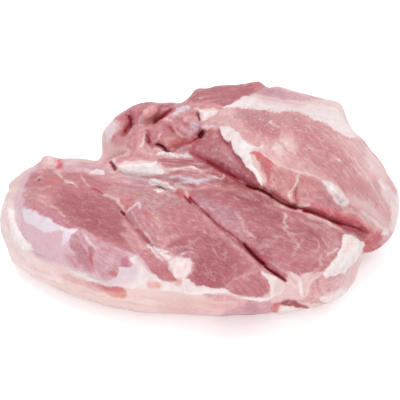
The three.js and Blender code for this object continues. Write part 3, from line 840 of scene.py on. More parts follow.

# Thin lines, broken up by noise, some of them painted highlights. name: (colour, width in pixels,
# strength from 0 to 1, line)
LINES = {
    "thread at the top left": ("cream", 0.8, 0.8, [
        (54, 171), (60, 175), (65, 181), (72, 183), (77, 187),
    ]),
    "second thread": ("palest muscle", 0.7, 0.8, [(80, 175), (84, 181), (89, 187)]),
    "edge of the first cleft": ("palest muscle", 0.9, 0.9, [
        (102, 193), (109, 197), (117, 200), (123, 207),
    ]),
    "crooked membrane": ("lilac white", 0.8, 0.9, [(127, 211), (132, 207), (138, 203), (140, 209)]),
    "line in the left lobe": ("palest muscle", 0.8, 0.7, [(50, 205), (56, 208), (62, 213), (66, 217)]),
    "line on the slope": ("palest muscle", 0.8, 0.7, [(114, 248), (121, 250), (128, 254)]),
    "edge of the fold hole": ("cream", 0.7, 0.7, [(36, 180), (39, 177), (43, 177)]),
    "dot on the film": ("cream", 1.4, 0.8, [(35, 213), (37, 212)]),
    "first white streak of the left end": ("palest muscle", 1.0, 0.6, [
        (22, 190), (34, 193), (46, 198),
    ]),
    "second streak of the left end": ("palest muscle", 0.7, 0.5, [(24, 186), (38, 188), (52, 186)]),
    "upper edge of the wedge": ("palest muscle", 0.8, 0.8, [
        (132, 224), (138, 231), (144, 241), (152, 248),
    ]),
    "white thread on the flap": ("bright skin", 0.9, 1.0, [
        (158, 163), (163, 168), (170, 170), (178, 169), (186, 167), (195, 168), (204, 171), (212, 175),
        (220, 179),
    ]),
    "white edge at the end of the flap": ("cream", 0.8, 0.8, [(220, 180), (223, 177), (224, 174)]),
    "lilac line of the strip": ("lilac white", 1.0, 0.7, [
        (174, 184), (186, 182), (198, 179), (210, 178),
    ]),
    "pale line of the strip": ("palest muscle", 0.9, 0.7, [
        (122, 176), (136, 177), (150, 180), (164, 184),
    ]),
    "rim of the pocket": ("bright pink", 0.9, 0.8, [(171, 121), (175, 113), (181, 109), (187, 106)]),
    "rim of the right bulge": ("bright pink", 0.9, 0.85, [
        (165, 119), (171, 122), (174, 128), (180, 135), (192, 138),
    ]),
    "outer edge of the right bulge": ("pale muscle", 0.8, 0.7, [
        (187, 107), (194, 109), (197, 116), (199, 121),
    ]),
    "lips of the red cut": ("white", 1.3, 0.95, [(145, 133), (144, 139), (140, 147)]),
    "lip above the red cut": ("salmon", 1.0, 0.8, [(144, 127), (145, 131), (149, 135), (152, 140)]),
    "notch of the knob": ("cream", 0.7, 0.7, [(160, 134), (158, 139), (156, 141)]),
    "pale spot right of the slit": ("pale lilac", 1.6, 0.7, [(140, 124), (143, 121)]),
    "white bit at the gap": ("white", 1.6, 0.8, [(114, 160), (115, 164)]),
    "short white line": ("white", 0.8, 0.8, [(274, 148), (281, 147), (285, 145), (288, 143)]),
    "white nick": ("white", 0.8, 0.8, [(270, 121), (274, 124), (278, 127)]),
    "white dot": ("white", 1.0, 0.9, [(339, 160), (340, 160)]),
    "top of the cut face": ("cream", 0.8, 0.8, [
        (250, 152), (260, 150), (276, 164), (290, 169), (298, 171), (310, 175), (320, 179),
    ]),
    "edge of the cut face": ("palest muscle", 1.6, 0.6, [
        (320, 179), (331, 183), (338, 190), (344, 199), (353, 205), (364, 212), (371, 218), (379, 225),
    ]),
    "edge between the pieces": ("white", 0.8, 0.85, [
        (299, 172), (297, 181), (294, 189), (290, 194), (292, 201),
    ]),
    "low edge of the piece": ("white", 0.9, 0.95, [(298, 206), (303, 206), (309, 205)]),
    "rim of the front of the cut": ("cream", 2.0, 0.85, [
        (254, 156), (259, 164), (263, 173), (266, 182),
    ]),
    "tip of the cut": ("salmon", 1.6, 0.85, [(360, 223), (368, 227), (377, 230)]),
    "marbling 1": ("palest muscle", 0.7, 0.7, [
        (282, 226), (287, 232), (296, 234), (304, 234), (310, 236), (315, 241),
    ]),
    "marbling 2": ("palest muscle", 0.7, 0.65, [(288, 233), (292, 238), (297, 243), (299, 246)]),
    "marbling 3": ("palest muscle", 0.8, 0.7, [(274, 236), (279, 236), (285, 239)]),
    "marbling 4": ("pale lilac", 0.6, 0.6, [(302, 240), (299, 246), (296, 251), (292, 257)]),
    "marbling 5": ("palest muscle", 0.7, 0.6, [(311, 250), (316, 249), (319, 246), (316, 241)]),
    "marbling 6": ("cream", 1.0, 0.85, [(327, 254), (333, 251), (339, 247)]),
    "marbling 7": ("palest muscle", 0.8, 0.7, [
        (322, 264), (320, 259), (323, 253), (330, 248), (326, 243), (322, 238),
    ]),
    "marbling 8": ("cream", 1.0, 0.75, [(300, 276), (308, 273), (316, 270), (322, 264)]),
    "marbling 9": ("cream", 1.2, 0.75, [(284, 213), (286, 217), (284, 222), (287, 229)]),
    "marbling 10": ("palest muscle", 0.7, 0.6, [(308, 217), (316, 219), (322, 221)]),
    "marbling 11": ("palest muscle", 0.7, 0.6, [(238, 194), (244, 196), (249, 198)]),
    "marbling 12": ("palest muscle", 0.6, 0.6, [(234, 197), (240, 201)]),
    "marbling 13": ("palest muscle", 0.7, 0.6, [(238, 216), (243, 224), (246, 232), (254, 238)]),
    "dark fold of the right lobe": ("dark red", 0.8, 0.6, [
        (263, 256), (267, 251), (273, 247), (279, 243),
    ]),
    "second dark fold of the right lobe": ("dark red", 0.7, 0.45, [
        (268, 252), (276, 248), (284, 252), (290, 248),
    ]),
    "third dark fold of the right lobe": ("dark red", 0.7, 0.4, [(258, 236), (266, 240), (272, 246)]),
    "pale folds of the right lobe's end": ("white", 0.8, 0.5, [
        (322, 276), (314, 280), (308, 288), (306, 296),
    ]),
    "fold of the right lobe's end": ("pink muscle", 0.9, 0.7, [
        (324, 274), (320, 280), (319, 288), (322, 295),
    ]),
    "seam of the middle lobe's tip": ("palest muscle", 0.9, 0.6, [
        (224, 288), (233, 281), (246, 275), (258, 271),
    ]),
    "second seam of the tip": ("palest muscle", 0.7, 0.45, [(240, 276), (250, 280), (262, 283)]),
    "threads of the middle lobe": ("pale lilac", 0.7, 0.6, [
        (166, 252), (176, 248), (186, 246), (196, 240),
    ]),
    "second thread of the middle lobe": ("palest muscle", 0.6, 0.6, [
        (212, 248), (216, 252), (220, 257),
    ]),
    "third thread of the middle lobe": ("pale muscle", 0.7, 0.6, [
        (146, 200), (154, 212), (158, 224), (160, 232),
    ]),
    "lilac edge of the lump": ("pale lilac", 0.9, 0.9, [(170, 257), (176, 256), (182, 254)]),
    "lilac strand at the lump": ("lilac white", 0.6, 0.8, [
        (181, 255), (185, 253), (189, 252), (193, 253),
    ]),
    "white edge of the lump": ("white", 1.0, 0.8, [(176, 257), (183, 258), (188, 261), (191, 264)]),
    "lilac bit right of the lump": ("pale lilac", 1.0, 0.8, [(190, 275), (192, 271), (194, 270)]),
    "bottom line 1": ("palest muscle", 0.9, 0.7, [(286, 284), (292, 290), (298, 299), (303, 303)]),
    "bottom line 2": ("cream", 0.9, 0.7, [(300, 282), (300, 290), (304, 297)]),
    "streak of the end": ("red muscle", 0.8, 0.5, [(300, 300), (312, 302), (324, 303), (334, 303)]),
    "pink edge of the skin": ("pale muscle", 1.4, 0.6, [(8, 224), (10, 230), (12, 236)]),
    "pink edge of the torn flap": ("white", 0.9, 0.8, [
        (200, 127), (206, 126), (207, 129), (209, 127), (216, 127), (220, 128),
    ]),
    "long streak 1": ("palest muscle", 0.5, 0.33, [(285, 115), (300, 135), (318, 160)]),
    "long streak 2": ("palest muscle", 0.5, 0.3, [(296, 118), (312, 140), (330, 165)]),
    "long streak 3": ("palest muscle", 0.5, 0.36, [(305, 120), (325, 148), (340, 168), (352, 190)]),
    "long streak 4": ("palest muscle", 0.5, 0.3, [(318, 125), (338, 150), (352, 172)]),
    "long streak 5": ("palest muscle", 0.6, 0.36, [(327, 130), (345, 152), (360, 178)]),
    "long streak 6": ("palest muscle", 0.5, 0.3, [(280, 130), (298, 150), (315, 170)]),
    "long streak 7": ("palest muscle", 0.6, 0.36, [(345, 165), (362, 190), (374, 210)]),
    "long streak 8": ("white", 0.6, 0.3, [(354, 158), (370, 182), (384, 206)]),
    "long streak 9": ("palest muscle", 0.5, 0.3, [(330, 178), (345, 195), (362, 208)]),
    "long streak 10": ("palest muscle", 0.5, 0.27, [(240, 112), (252, 128), (262, 142)]),
    "dark streak 1": ("muscle", 1.6, 0.5, [(290, 122), (306, 144), (324, 168)]),
    "dark streak 2": ("muscle", 1.6, 0.5, [(312, 128), (332, 154), (346, 176)]),
    "dark streak 3": ("muscle", 1.6, 0.5, [(336, 142), (352, 166), (366, 192)]),
    "dark streak 4": ("muscle", 1.6, 0.5, [(262, 120), (276, 138), (292, 154)]),
    "torn line of the right lobe": ("palest muscle", 0.8, 0.75, [
        (236, 212), (239, 217), (242, 219), (243, 224), (247, 227), (248, 232), (253, 237),
    ]),
    "dark side of the torn line": ("deep muscle", 1.2, 0.6, [
        (241, 214), (246, 221), (251, 229), (257, 236),
    ]),
    "streak below the left lobe 1": ("deep muscle", 0.9, 0.8, [(75, 236), (80, 246), (88, 256)]),
    "streak below the left lobe 2": ("deepest muscle", 0.9, 0.8, [
        (80, 232), (86, 243), (91, 252), (92, 262),
    ]),
    "streak below the left lobe 3": ("deep muscle", 0.9, 0.8, [(71, 243), (76, 254), (84, 264)]),
    "streak below the left lobe 4": ("lilac white", 0.7, 0.55, [(84, 234), (91, 243), (97, 250)]),
    "streak below the left lobe 5": ("pale lilac", 0.7, 0.55, [(77, 233), (84, 245), (90, 256)]),
    "streak below the left lobe 6": ("pale lilac", 0.7, 0.55, [(92, 236), (100, 243), (108, 247)]),
    "streak of the left end 3": ("palest muscle", 0.6, 0.6, [(26, 196), (36, 199), (46, 204)]),
    "streak of the left end 4": ("deep muscle", 0.8, 0.5, [(27, 188), (38, 191), (50, 194)]),
    "streak of the left end 5": ("deep muscle", 0.7, 0.5, [(30, 202), (40, 205), (50, 210)]),
    "edge of the dark patch": ("deep muscle", 0.9, 0.6, [(55, 203), (55, 196), (60, 191), (68, 188)]),
    "fold in the corner fat": ("pale lilac", 0.7, 0.7, [(133, 262), (138, 268), (143, 277)]),
    "second fold in the corner fat": ("pale lilac", 0.7, 0.6, [(127, 270), (134, 278), (147, 284)]),
    "curl of the creamy lumps": ("white", 0.8, 0.8, [
        (150, 180), (156, 182), (163, 183), (170, 186), (174, 190),
    ]),
    "pink under the creamy lumps": ("muscle", 0.8, 0.7, [
        (150, 186), (160, 188), (168, 190), (174, 194),
    ]),
    "white strand of the strip": ("lilac white", 0.7, 0.7, [
        (170, 178), (180, 177), (190, 180), (199, 184),
    ]),
    "second strand of the strip": ("palest muscle", 0.7, 0.7, [
        (176, 190), (184, 188), (194, 189), (206, 188),
    ]),
    "third strand of the strip": ("palest muscle", 0.7, 0.6, [
        (112, 178), (124, 180), (138, 180), (148, 183),
    ]),
    "fourth strand of the strip": ("pale lilac", 0.7, 0.6, [(114, 188), (128, 190), (142, 194)]),
    "curl of the torn lump": ("cream", 0.6, 0.7, [
        (172, 190), (178, 187), (186, 190), (188, 196), (184, 200),
    ]),
    "low end of the cut face's edge": ("white", 2.0, 0.6, [
        (362, 212), (371, 219), (380, 226), (386, 232),
    ]),
    # A painted highlight: the sheen at the cut face's end.
    "painted sheen at the cut face's end": ("palest muscle", 1.6, 0.7, [
        (348, 211), (358, 215), (368, 221), (376, 227),
    ]),
    "second lip of the red cut": ("palest muscle", 0.9, 0.8, [(160, 134), (158, 139), (155, 141)]),
    "rough edge of the slope": ("pale lilac", 0.8, 0.6, [
        (206, 203), (212, 208), (218, 209), (226, 214),
    ]),
    "second rough edge of the slope": ("pale lilac", 0.8, 0.6, [
        (222, 220), (230, 222), (236, 226), (240, 232),
    ]),
    "flake of the first cleft 1": ("pale lilac", 1.1, 0.8, [(131, 212), (136, 218), (140, 226)]),
    "flake of the first cleft 2": ("palest muscle", 1.2, 0.8, [(143, 231), (149, 239), (156, 245)]),
    "flake of the first cleft 3": ("white", 1.0, 0.8, [(152, 247), (160, 250), (168, 252)]),
    "flake of the first cleft 4": ("pale lilac", 1.0, 0.7, [(150, 222), (156, 230), (159, 240)]),
    "bits in the seam": ("lilac", 1.5, 0.8, [(240, 182), (243, 184), (247, 186)]),
    "patch of the outer muscle's rim": ("lilac white", 2.0, 0.6, [(365, 157), (369, 163), (373, 170)]),
    # Film with a painted highlight along the outer muscle's right rim.
    "white film and painted highlight of the rim": ("white", 1.1, 0.7, [(379, 180), (384, 188), (388, 197), (391, 203)]),
    "low rim of the pocket": ("bright pink", 1.2, 0.7, [(162, 121), (168, 117), (174, 112)]),
    "skin streak 1": ("pink skin", 1.2, 0.6, [(18, 262), (38, 270), (62, 276), (84, 283)]),
    "skin streak 2": ("cream", 1.2, 0.5, [(22, 258), (44, 264), (64, 272), (84, 279)]),
    "skin streak 3": ("pale muscle", 1.0, 0.5, [(30, 274), (56, 282), (84, 290), (104, 297)]),
    "skin streak 4": ("cream skin", 1.4, 0.5, [(60, 284), (90, 292), (130, 300), (170, 304)]),
    "skin streak 5": ("pink skin", 1.4, 0.6, [(130, 296), (160, 299), (200, 302), (236, 302)]),
    "skin streak 6": ("pale muscle", 1.0, 0.5, [(110, 300), (150, 306), (190, 310), (212, 312)]),
}

# The painted shade of the seams, clefts and gaps.
# name: (width in pixels, softness of its edges in pixels, strength from 0 to 1, line)
SHADES = {
    # Painted shade below the seam.
    "painted shade below the seam": (1.5, 2.5, 0.24, [
        (222, 176), (236, 183), (250, 190), (262, 195), (274, 202),
    ]),
    "second cleft's tip": (1.5, 0.9, 0.95, [(264, 266), (274, 273), (286, 281)]),
    "first cleft": (0.9, 0.8, 0.45, [(92, 189), (97, 190), (103, 194)]),
    "first cleft's gap": (1.2, 0.7, 0.9, [(121, 211), (125, 215)]),
    "first cleft below the gap": (0.8, 1.0, 0.35, [(126, 216), (129, 221), (134, 226)]),
    "first cleft's middle": (1.0, 1.3, 0.4, [(136, 229), (140, 233), (145, 239), (150, 243)]),
    "first cleft's low end": (0.8, 1.2, 0.2, [(150, 243), (158, 254), (166, 262), (176, 281)]),
    "top of the second cleft": (0.9, 0.9, 0.7, [
        (184, 196), (188, 201), (191, 203), (190, 198), (195, 203), (199, 206),
    ]),
    "second cleft": (0.6, 0.8, 0.6, [
        (199, 207), (207, 214), (215, 222), (224, 229), (234, 236), (242, 244),
    ]),
    "second cleft's spot": (1.3, 0.9, 0.6, [(205, 212), (210, 217)]),
    "second cleft's low end": (2.2, 1.0, 0.95, [(243, 243), (250, 251), (258, 259), (265, 265)]),
    "side of the second cleft": (1.0, 2.2, 0.2, [
        (242, 240), (256, 250), (266, 260), (278, 270), (287, 277),
    ]),
    "seam under the flap": (1.2, 2.4, 0.38, [(188, 152), (200, 158), (212, 163), (224, 170)]),
    "seam of the inner muscle": (1.2, 1.6, 0.7, [(206, 161), (216, 166), (226, 172), (238, 178)]),
    "spots in the seam": (1.3, 0.9, 0.6, [(222, 169), (229, 173), (236, 176)]),
    "seam to the cut face": (1.5, 1.0, 0.95, [
        (246, 185), (253, 188), (260, 190), (270, 195), (272, 198),
    ]),
    "seam under the cut face": (1.3, 0.9, 0.9, [(272, 197), (280, 202), (290, 207), (297, 209)]),
    "seam under the piece": (1.0, 0.9, 0.9, [(303, 211), (309, 212), (315, 214)]),
    "seam under the torn edge": (1.0, 1.0, 0.75, [(312, 213), (322, 217), (332, 221), (342, 225)]),
    "seam at the hanging end": (1.0, 1.8, 0.35, [(340, 224), (350, 227), (360, 231), (368, 233)]),
    "hole beside the knob": (1.9, 0.7, 1.0, [(203, 130), (201, 133), (199, 136)]),
    "corner beside the hole": (0.8, 0.8, 0.8, [(198, 138), (194, 140)]),
    "slit of the knob": (1.6, 1.0, 0.7, [(129, 115), (130, 121), (128, 127), (124, 132)]),
    "pocket of the knob": (1.0, 1.2, 0.65, [(154, 123), (160, 119), (166, 113), (172, 109)]),
    "red cut of the knob": (0.5, 0.8, 0.6, [(146, 134), (148, 138), (149, 143)]),
    "gap under the knob": (1.3, 0.7, 1.0, [(156, 144), (161, 145), (166, 149)]),
    "gap's tail": (0.7, 1.2, 0.4, [(166, 150), (172, 152), (178, 148), (188, 143), (196, 140)]),
    "edge behind the knob": (0.8, 0.8, 0.7, [(198, 115), (200, 121)]),
    "gap at the back strip": (1.4, 1.1, 0.7, [(110, 162), (113, 165), (115, 170)]),
    "fold hole": (1.1, 0.8, 0.35, [(38, 179), (40, 181)]),
    "under the flap's white thread": (0.7, 1.4, 0.15, [(166, 173), (180, 174), (200, 174), (218, 183)]),
    "under the torn edge": (0.8, 1.8, 0.3, [
        (222, 139), (230, 147), (237, 158), (245, 170), (255, 180),
    ]),
}

# Where fat lies over the muscle. name: outline
FAT_AREAS = {
    "edge of the middle lobe's tip": [
        (259, 270), (266, 272), (272, 274), (279, 276), (283, 280), (286, 285), (283, 290), (274, 292),
        (271, 284), (268, 278), (262, 273),
    ],
    "strip at the left end": [
        (9, 208), (13, 210), (15, 221), (20, 232), (28, 242), (34, 250), (25, 250), (17, 244),
        (12, 235), (10, 224), (8, 213),
    ],
    "rim of the front": [
        (118, 274), (121, 268), (133, 267), (131, 257), (140, 257), (146, 265), (154, 274), (166, 281),
        (176, 284), (181, 279), (190, 280), (197, 285), (212, 287), (224, 289), (234, 294), (249, 297),
        (268, 296), (270, 288), (270, 279), (280, 277), (287, 283), (285, 290), (275, 297), (262, 301),
        (245, 300), (238, 297), (223, 294), (191, 294), (176, 292), (152, 290), (130, 288), (117, 286),
        (97, 282), (82, 278), (71, 272), (65, 268), (82, 272), (97, 278), (110, 280),
    ],
    "lump of the middle lobe": [
        (168, 262), (176, 257), (184, 258), (190, 262), (191, 269), (187, 276), (178, 280), (173, 276),
        (168, 270),
    ],
    "thread of the middle lobe": [
        (146, 244), (155, 246), (162, 252), (170, 257), (166, 261), (158, 256),
    ],
    "cap of the right lobe": [
        (343, 234), (354, 236), (364, 241), (362, 250), (357, 261), (350, 267), (342, 273), (330, 277),
        (322, 274), (332, 263), (338, 253), (342, 244),
    ],
    "patch beside the cleft": [
        (289, 275), (293, 271), (298, 276), (302, 284), (303, 294), (300, 294), (297, 286), (292, 281),
    ],
    "fat at the lower right": [(320, 297), (330, 294), (345, 287), (346, 294), (335, 302), (324, 303)],
    "fat at the bottom": [(278, 310), (287, 305), (299, 309), (296, 313), (280, 315)],
    "band along the back": [
        (223, 107), (234, 103), (243, 98), (252, 96), (261, 98), (276, 100), (284, 101), (297, 104),
        (308, 105), (321, 106), (335, 109), (341, 115), (348, 126), (356, 138), (347, 137), (334, 131),
        (320, 122), (307, 116), (292, 112), (270, 111), (250, 109), (234, 108),
    ],
    "band beside the knob": [
        (190, 104), (198, 109), (210, 111), (220, 110), (214, 115), (205, 120), (201, 121), (199, 114),
        (195, 108),
    ],
    "torn edge": [
        (219, 128), (224, 126), (231, 127), (236, 131), (240, 136), (245, 141), (250, 146), (258, 147),
        (265, 146), (262, 149), (253, 151), (250, 154), (252, 161), (255, 168), (259, 175), (262, 181),
        (263, 187), (260, 187), (257, 183), (255, 176), (252, 172), (247, 169), (244, 165), (241, 159),
        (239, 155), (235, 153), (232, 149), (230, 144), (231, 140), (228, 142), (224, 140), (221, 135),
        (219, 131),
    ],
    "back strip": [
        (118, 166), (123, 165), (131, 165), (143, 163), (155, 163), (157, 167), (163, 170), (166, 175),
        (156, 177), (140, 175), (130, 174), (123, 173), (119, 170),
    ],
    "fat under the knob": [
        (155, 156), (160, 153), (169, 152), (177, 155), (184, 154), (189, 151), (193, 158), (185, 159),
        (173, 157), (163, 156),
    ],
    "white bit at the left": [(90, 174), (97, 169), (101, 170), (105, 174), (98, 175)],
    "creamy lumps": [
        (150, 179), (157, 180), (165, 182), (171, 185), (176, 189), (168, 189), (160, 187), (154, 184),
    ],
    "creamy line": [(151, 189), (160, 189), (166, 192), (161, 193), (155, 191)],
    "lump at the junction": [
        (290, 188), (293, 190), (295, 187), (295, 193), (293, 198), (297, 203), (292, 203), (288, 200),
        (287, 195),
    ],
    "tip of the torn edge": [
        (374, 226), (379, 229), (384, 227), (388, 230), (389, 236), (385, 235), (380, 234), (376, 230),
    ],
}

# The fat's colour where it isn't the usual one. name: (colour, softness of the edge in mm, outline)
FAT_TINTS = {
    "lilac corner beside the middle lobe": ("lilac", 2.0, [
        (138, 256), (148, 262), (156, 272), (148, 272), (140, 264),
    ]),
    "pink beside the cleft's tip": ("pale muscle", 2.0, [
        (284, 275), (293, 273), (297, 283), (288, 288), (283, 282),
    ]),
    "white back strip": ("white", 2.0, [(114, 158), (160, 156), (168, 177), (140, 181), (116, 177)]),
    "lump of the middle lobe": ("bright skin", 2.0, [
        (164, 260), (176, 254), (190, 256), (198, 264), (192, 278), (178, 283), (166, 274),
    ]),
    "corner under the left lobe": ("lilac fat", 3.0, [
        (104, 262), (120, 262), (136, 264), (134, 282), (112, 286), (98, 280),
    ]),
    "orange spot of the rim": ("orange pink", 2.0, [
        (146, 283), (154, 281), (162, 284), (158, 289), (148, 288),
    ]),
    "orange spot by the lump": ("orange pink", 1.5, [(176, 279), (182, 280), (181, 285), (175, 285)]),
    "red spot beside the cleft": ("salmon", 2.0, [(276, 280), (281, 280), (281, 287), (276, 290)]),
    "blush beside the cleft": ("pink fat", 3.0, [(275, 280), (283, 279), (283, 290), (275, 292)]),
    "white cap": ("white", 2.0, [
        (340, 232), (366, 240), (362, 262), (350, 272), (330, 276), (320, 272),
    ]),
    "blush of the cap": ("cream", 2.5, [(348, 238), (354, 238), (353, 247), (346, 253), (344, 248)]),
    "white strip": ("white", 3.0, [(7, 205), (18, 205), (34, 252), (22, 252), (8, 230)]),
    "white torn edge": ("white", 2.0, [
        (240, 140), (252, 148), (264, 180), (272, 190), (258, 184), (242, 160),
    ]),
    "white lumps": ("white", 2.0, [(148, 178), (172, 183), (176, 190), (150, 195)]),
    "pink junction lump": ("cream", 1.5, [(284, 185), (299, 185), (299, 206), (284, 206)]),
    "grey part of the band": ("lilac", 4.0, [
        (258, 96), (290, 99), (306, 103), (300, 107), (276, 104), (260, 102),
    ]),
}

# Where thin film lies over the muscle. name: (strength from 0 to 1, outline)
FILM_AREAS = {
    "on the left lobe": (1.0, [
        (21, 208), (31, 210), (41, 215), (51, 220), (61, 226), (70, 229), (79, 230), (71, 235),
        (69, 240), (64, 245), (61, 245), (62, 238), (63, 232), (57, 231), (46, 232), (39, 229),
        (31, 226), (24, 219),
    ]),
    "along the rim": (0.7, [
        (65, 268), (82, 271), (100, 281), (112, 283), (122, 275), (133, 268), (131, 275), (120, 283),
        (107, 285), (92, 281), (78, 274),
    ]),
    "left of the knob": (0.6, [
        (105, 128), (111, 123), (118, 123), (117, 129), (113, 136), (107, 143), (105, 136),
    ]),
    "right of the knob": (0.25, [(192, 121), (199, 121), (199, 126), (195, 133), (191, 131)]),
    "top of the knob": (0.6, [(165, 114), (177, 107), (188, 107), (186, 112), (173, 115)]),
    "back strip": (0.45, [(175, 184), (185, 182), (196, 179), (204, 180), (198, 184), (188, 185)]),
}

# Which way the grain runs, from one place to another. Along it, places are multiplied by the
# stretch, so a smaller one draws the grain out longer.
# name: ((from, to), stretch, strength of its pale streaks, outline)
GRAINS = {
    "left lobe": (((40, 190), (110, 240)), 0.12, 0.1, [
        (10, 165), (60, 160), (130, 200), (170, 285), (60, 300), (0, 250),
    ]),
    "middle lobe": (((150, 190), (230, 280)), 0.16, 0.35, [
        (110, 185), (190, 195), (275, 280), (270, 300), (190, 300),
    ]),
    "right lobe": (((220, 195), (320, 255)), 0.16, 0.4, [
        (190, 190), (260, 195), (340, 228), (345, 260), (300, 285), (270, 270),
    ]),
    "knob": (((110, 160), (160, 110)), 0.3, 0.2, [
        (95, 165), (100, 110), (200, 95), (205, 135), (180, 155),
    ]),
    "flap": (((120, 175), (240, 182)), 0.1, 0.9, [
        (60, 160), (120, 160), (200, 155), (260, 190), (180, 195), (100, 185),
    ]),
    "inner muscle": (((205, 135), (250, 180)), 0.15, 0.3, [
        (185, 145), (205, 127), (225, 130), (262, 185), (245, 188),
    ]),
    "outer muscle": (((290, 110), (355, 205)), 0.04, 1.0, [
        (200, 130), (220, 100), (320, 90), (405, 190), (390, 240), (340, 200), (250, 150),
    ]),
    "cut face": (((262, 158), (290, 200)), 0.12, 0.4, [
        (250, 150), (300, 170), (340, 190), (385, 230), (330, 222), (265, 190),
    ]),
    "back muscle": (((190, 100), (265, 85)), 0.12, 0.5, [
        (180, 105), (200, 80), (270, 78), (262, 92), (225, 108),
    ]),
    "skin": (((20, 262), (200, 308)), 0.08, 0.0, [
        (0, 250), (60, 268), (130, 285), (270, 300), (300, 320), (0, 330),
    ]),
}

# ---- Modelled shapes, along lines in pixels -------------------------------------------------------

# Seams and folds or, with a negative depth, ridges and lumps.
# name: (depth in mm, half width in mm, centre line)
FORMS = {
    "floor of the pocket": (-2.5, 4.0, [(146, 120), (152, 114), (158, 109)]),
    "cleft between left and middle lobe": (3.2, 2.2, [
        (90, 189), (103, 194), (115, 201), (123, 211), (129, 220), (138, 231), (146, 241), (157, 254),
    ]),
    "cleft under the middle lobe": (1.4, 2.0, [(146, 241), (157, 254), (168, 265), (176, 282)]),
    "cleft between middle and right lobe": (4.0, 1.8, [
        (187, 199), (197, 206), (206, 212), (223, 228), (238, 240),
    ]),
    "low end of the second cleft": (6.5, 2.2, [
        (232, 236), (238, 240), (250, 251), (262, 262), (270, 268),
    ]),
    "tip of the second cleft": (3.0, 1.6, [(262, 262), (270, 269), (279, 276), (287, 281)]),
    "seam under the outer muscle": (6.0, 2.4, [
        (190, 154), (207, 161), (220, 167), (237, 178), (248, 186), (260, 189), (270, 195), (284, 205),
    ]),
    "seam under the torn edge": (7.5, 1.9, [
        (270, 194), (284, 203), (300, 207), (311, 209), (322, 213), (338, 220), (357, 226), (368, 231),
    ]),
    "hole beside the knob": (9.0, 2.4, [(203, 129), (201, 133), (199, 137)]),
    "slit in the knob": (8.0, 2.2, [(129, 112), (132, 119), (130, 125), (126, 131), (122, 136)]),
    "wall beside the slit": (1.0, 3.0, [(125, 119), (124, 127)]),
    "pocket in the knob": (3.2, 2.2, [(153, 123), (160, 118), (168, 112), (176, 108)]),
    "ridge between slit and pocket": (-2.5, 5.0, [(135, 108), (138, 119), (134, 130)]),
    "right bulge of the knob": (-3.0, 7.0, [(185, 116), (187, 127)]),
    "front of the knob": (-2.0, 6.0, [(120, 148), (132, 146), (140, 146)]),
    "middle of the knob": (-1.5, 5.0, [(158, 131), (170, 137)]),
    "red cut in the knob": (5.0, 1.8, [(147, 131), (147, 137), (149, 143)]),
    "gap under the knob": (7.0, 2.0, [(155, 143), (162, 146), (166, 150), (170, 151)]),
    "edge under the knob": (3.5, 1.8, [(174, 148), (180, 145), (187, 142), (197, 139)]),
    "gap at the back strip": (7.0, 2.2, [(111, 163), (115, 170)]),
    "gap behind the knob": (4.0, 2.0, [(197, 111), (200, 116), (201, 121)]),
    "fold across the knob": (2.5, 2.0, [(163, 121), (170, 125), (175, 131), (183, 137), (194, 140)]),
    "fold under the red flap": (1.2, 1.8, [
        (157, 165), (163, 170), (171, 173), (181, 172), (186, 170), (195, 171), (203, 174), (210, 178),
        (220, 182),
    ]),
    "crease at the small lumps": (1.8, 2.0, [(44, 172), (53, 171), (61, 174), (66, 178), (78, 185)]),
    "dimple in the left lobe": (3.0, 1.8, [(37, 179), (40, 180)]),
    "edge of the left lobe": (1.8, 2.4, [
        (14, 205), (15, 221), (25, 241), (34, 253), (51, 259), (65, 268), (82, 274), (98, 280),
        (112, 282),
    ]),
    "red lump": (-4.0, 5.0, [(175, 191), (183, 194), (189, 197)]),
    "left small lump": (-3.5, 5.0, [(40, 162), (47, 159), (53, 161)]),
    "red-tipped lump": (-3.0, 3.5, [(57, 162), (62, 165)]),
    "lump of fat": (-3.0, 7.0, [(175, 266), (185, 267)]),
    "fat knob on the torn edge": (-3.0, 4.0, [(329, 186), (338, 194)]),
    "white lump on the cut face": (-1.5, 2.5, [(292, 193), (294, 200)]),
    "low lump of the knob": (-2.5, 4.0, [(148, 152), (158, 150), (167, 154)]),
    "creamy lumps": (-1.8, 4.0, [(150, 185), (162, 187), (174, 191)]),
    "fold in the strip": (1.5, 1.8, [(112, 180), (126, 183), (140, 188)]),
    "second fold in the strip": (1.8, 2.0, [(172, 182), (184, 186), (198, 188)]),
    "third fold in the strip": (1.5, 1.8, [(120, 175), (136, 178), (150, 178)]),
}

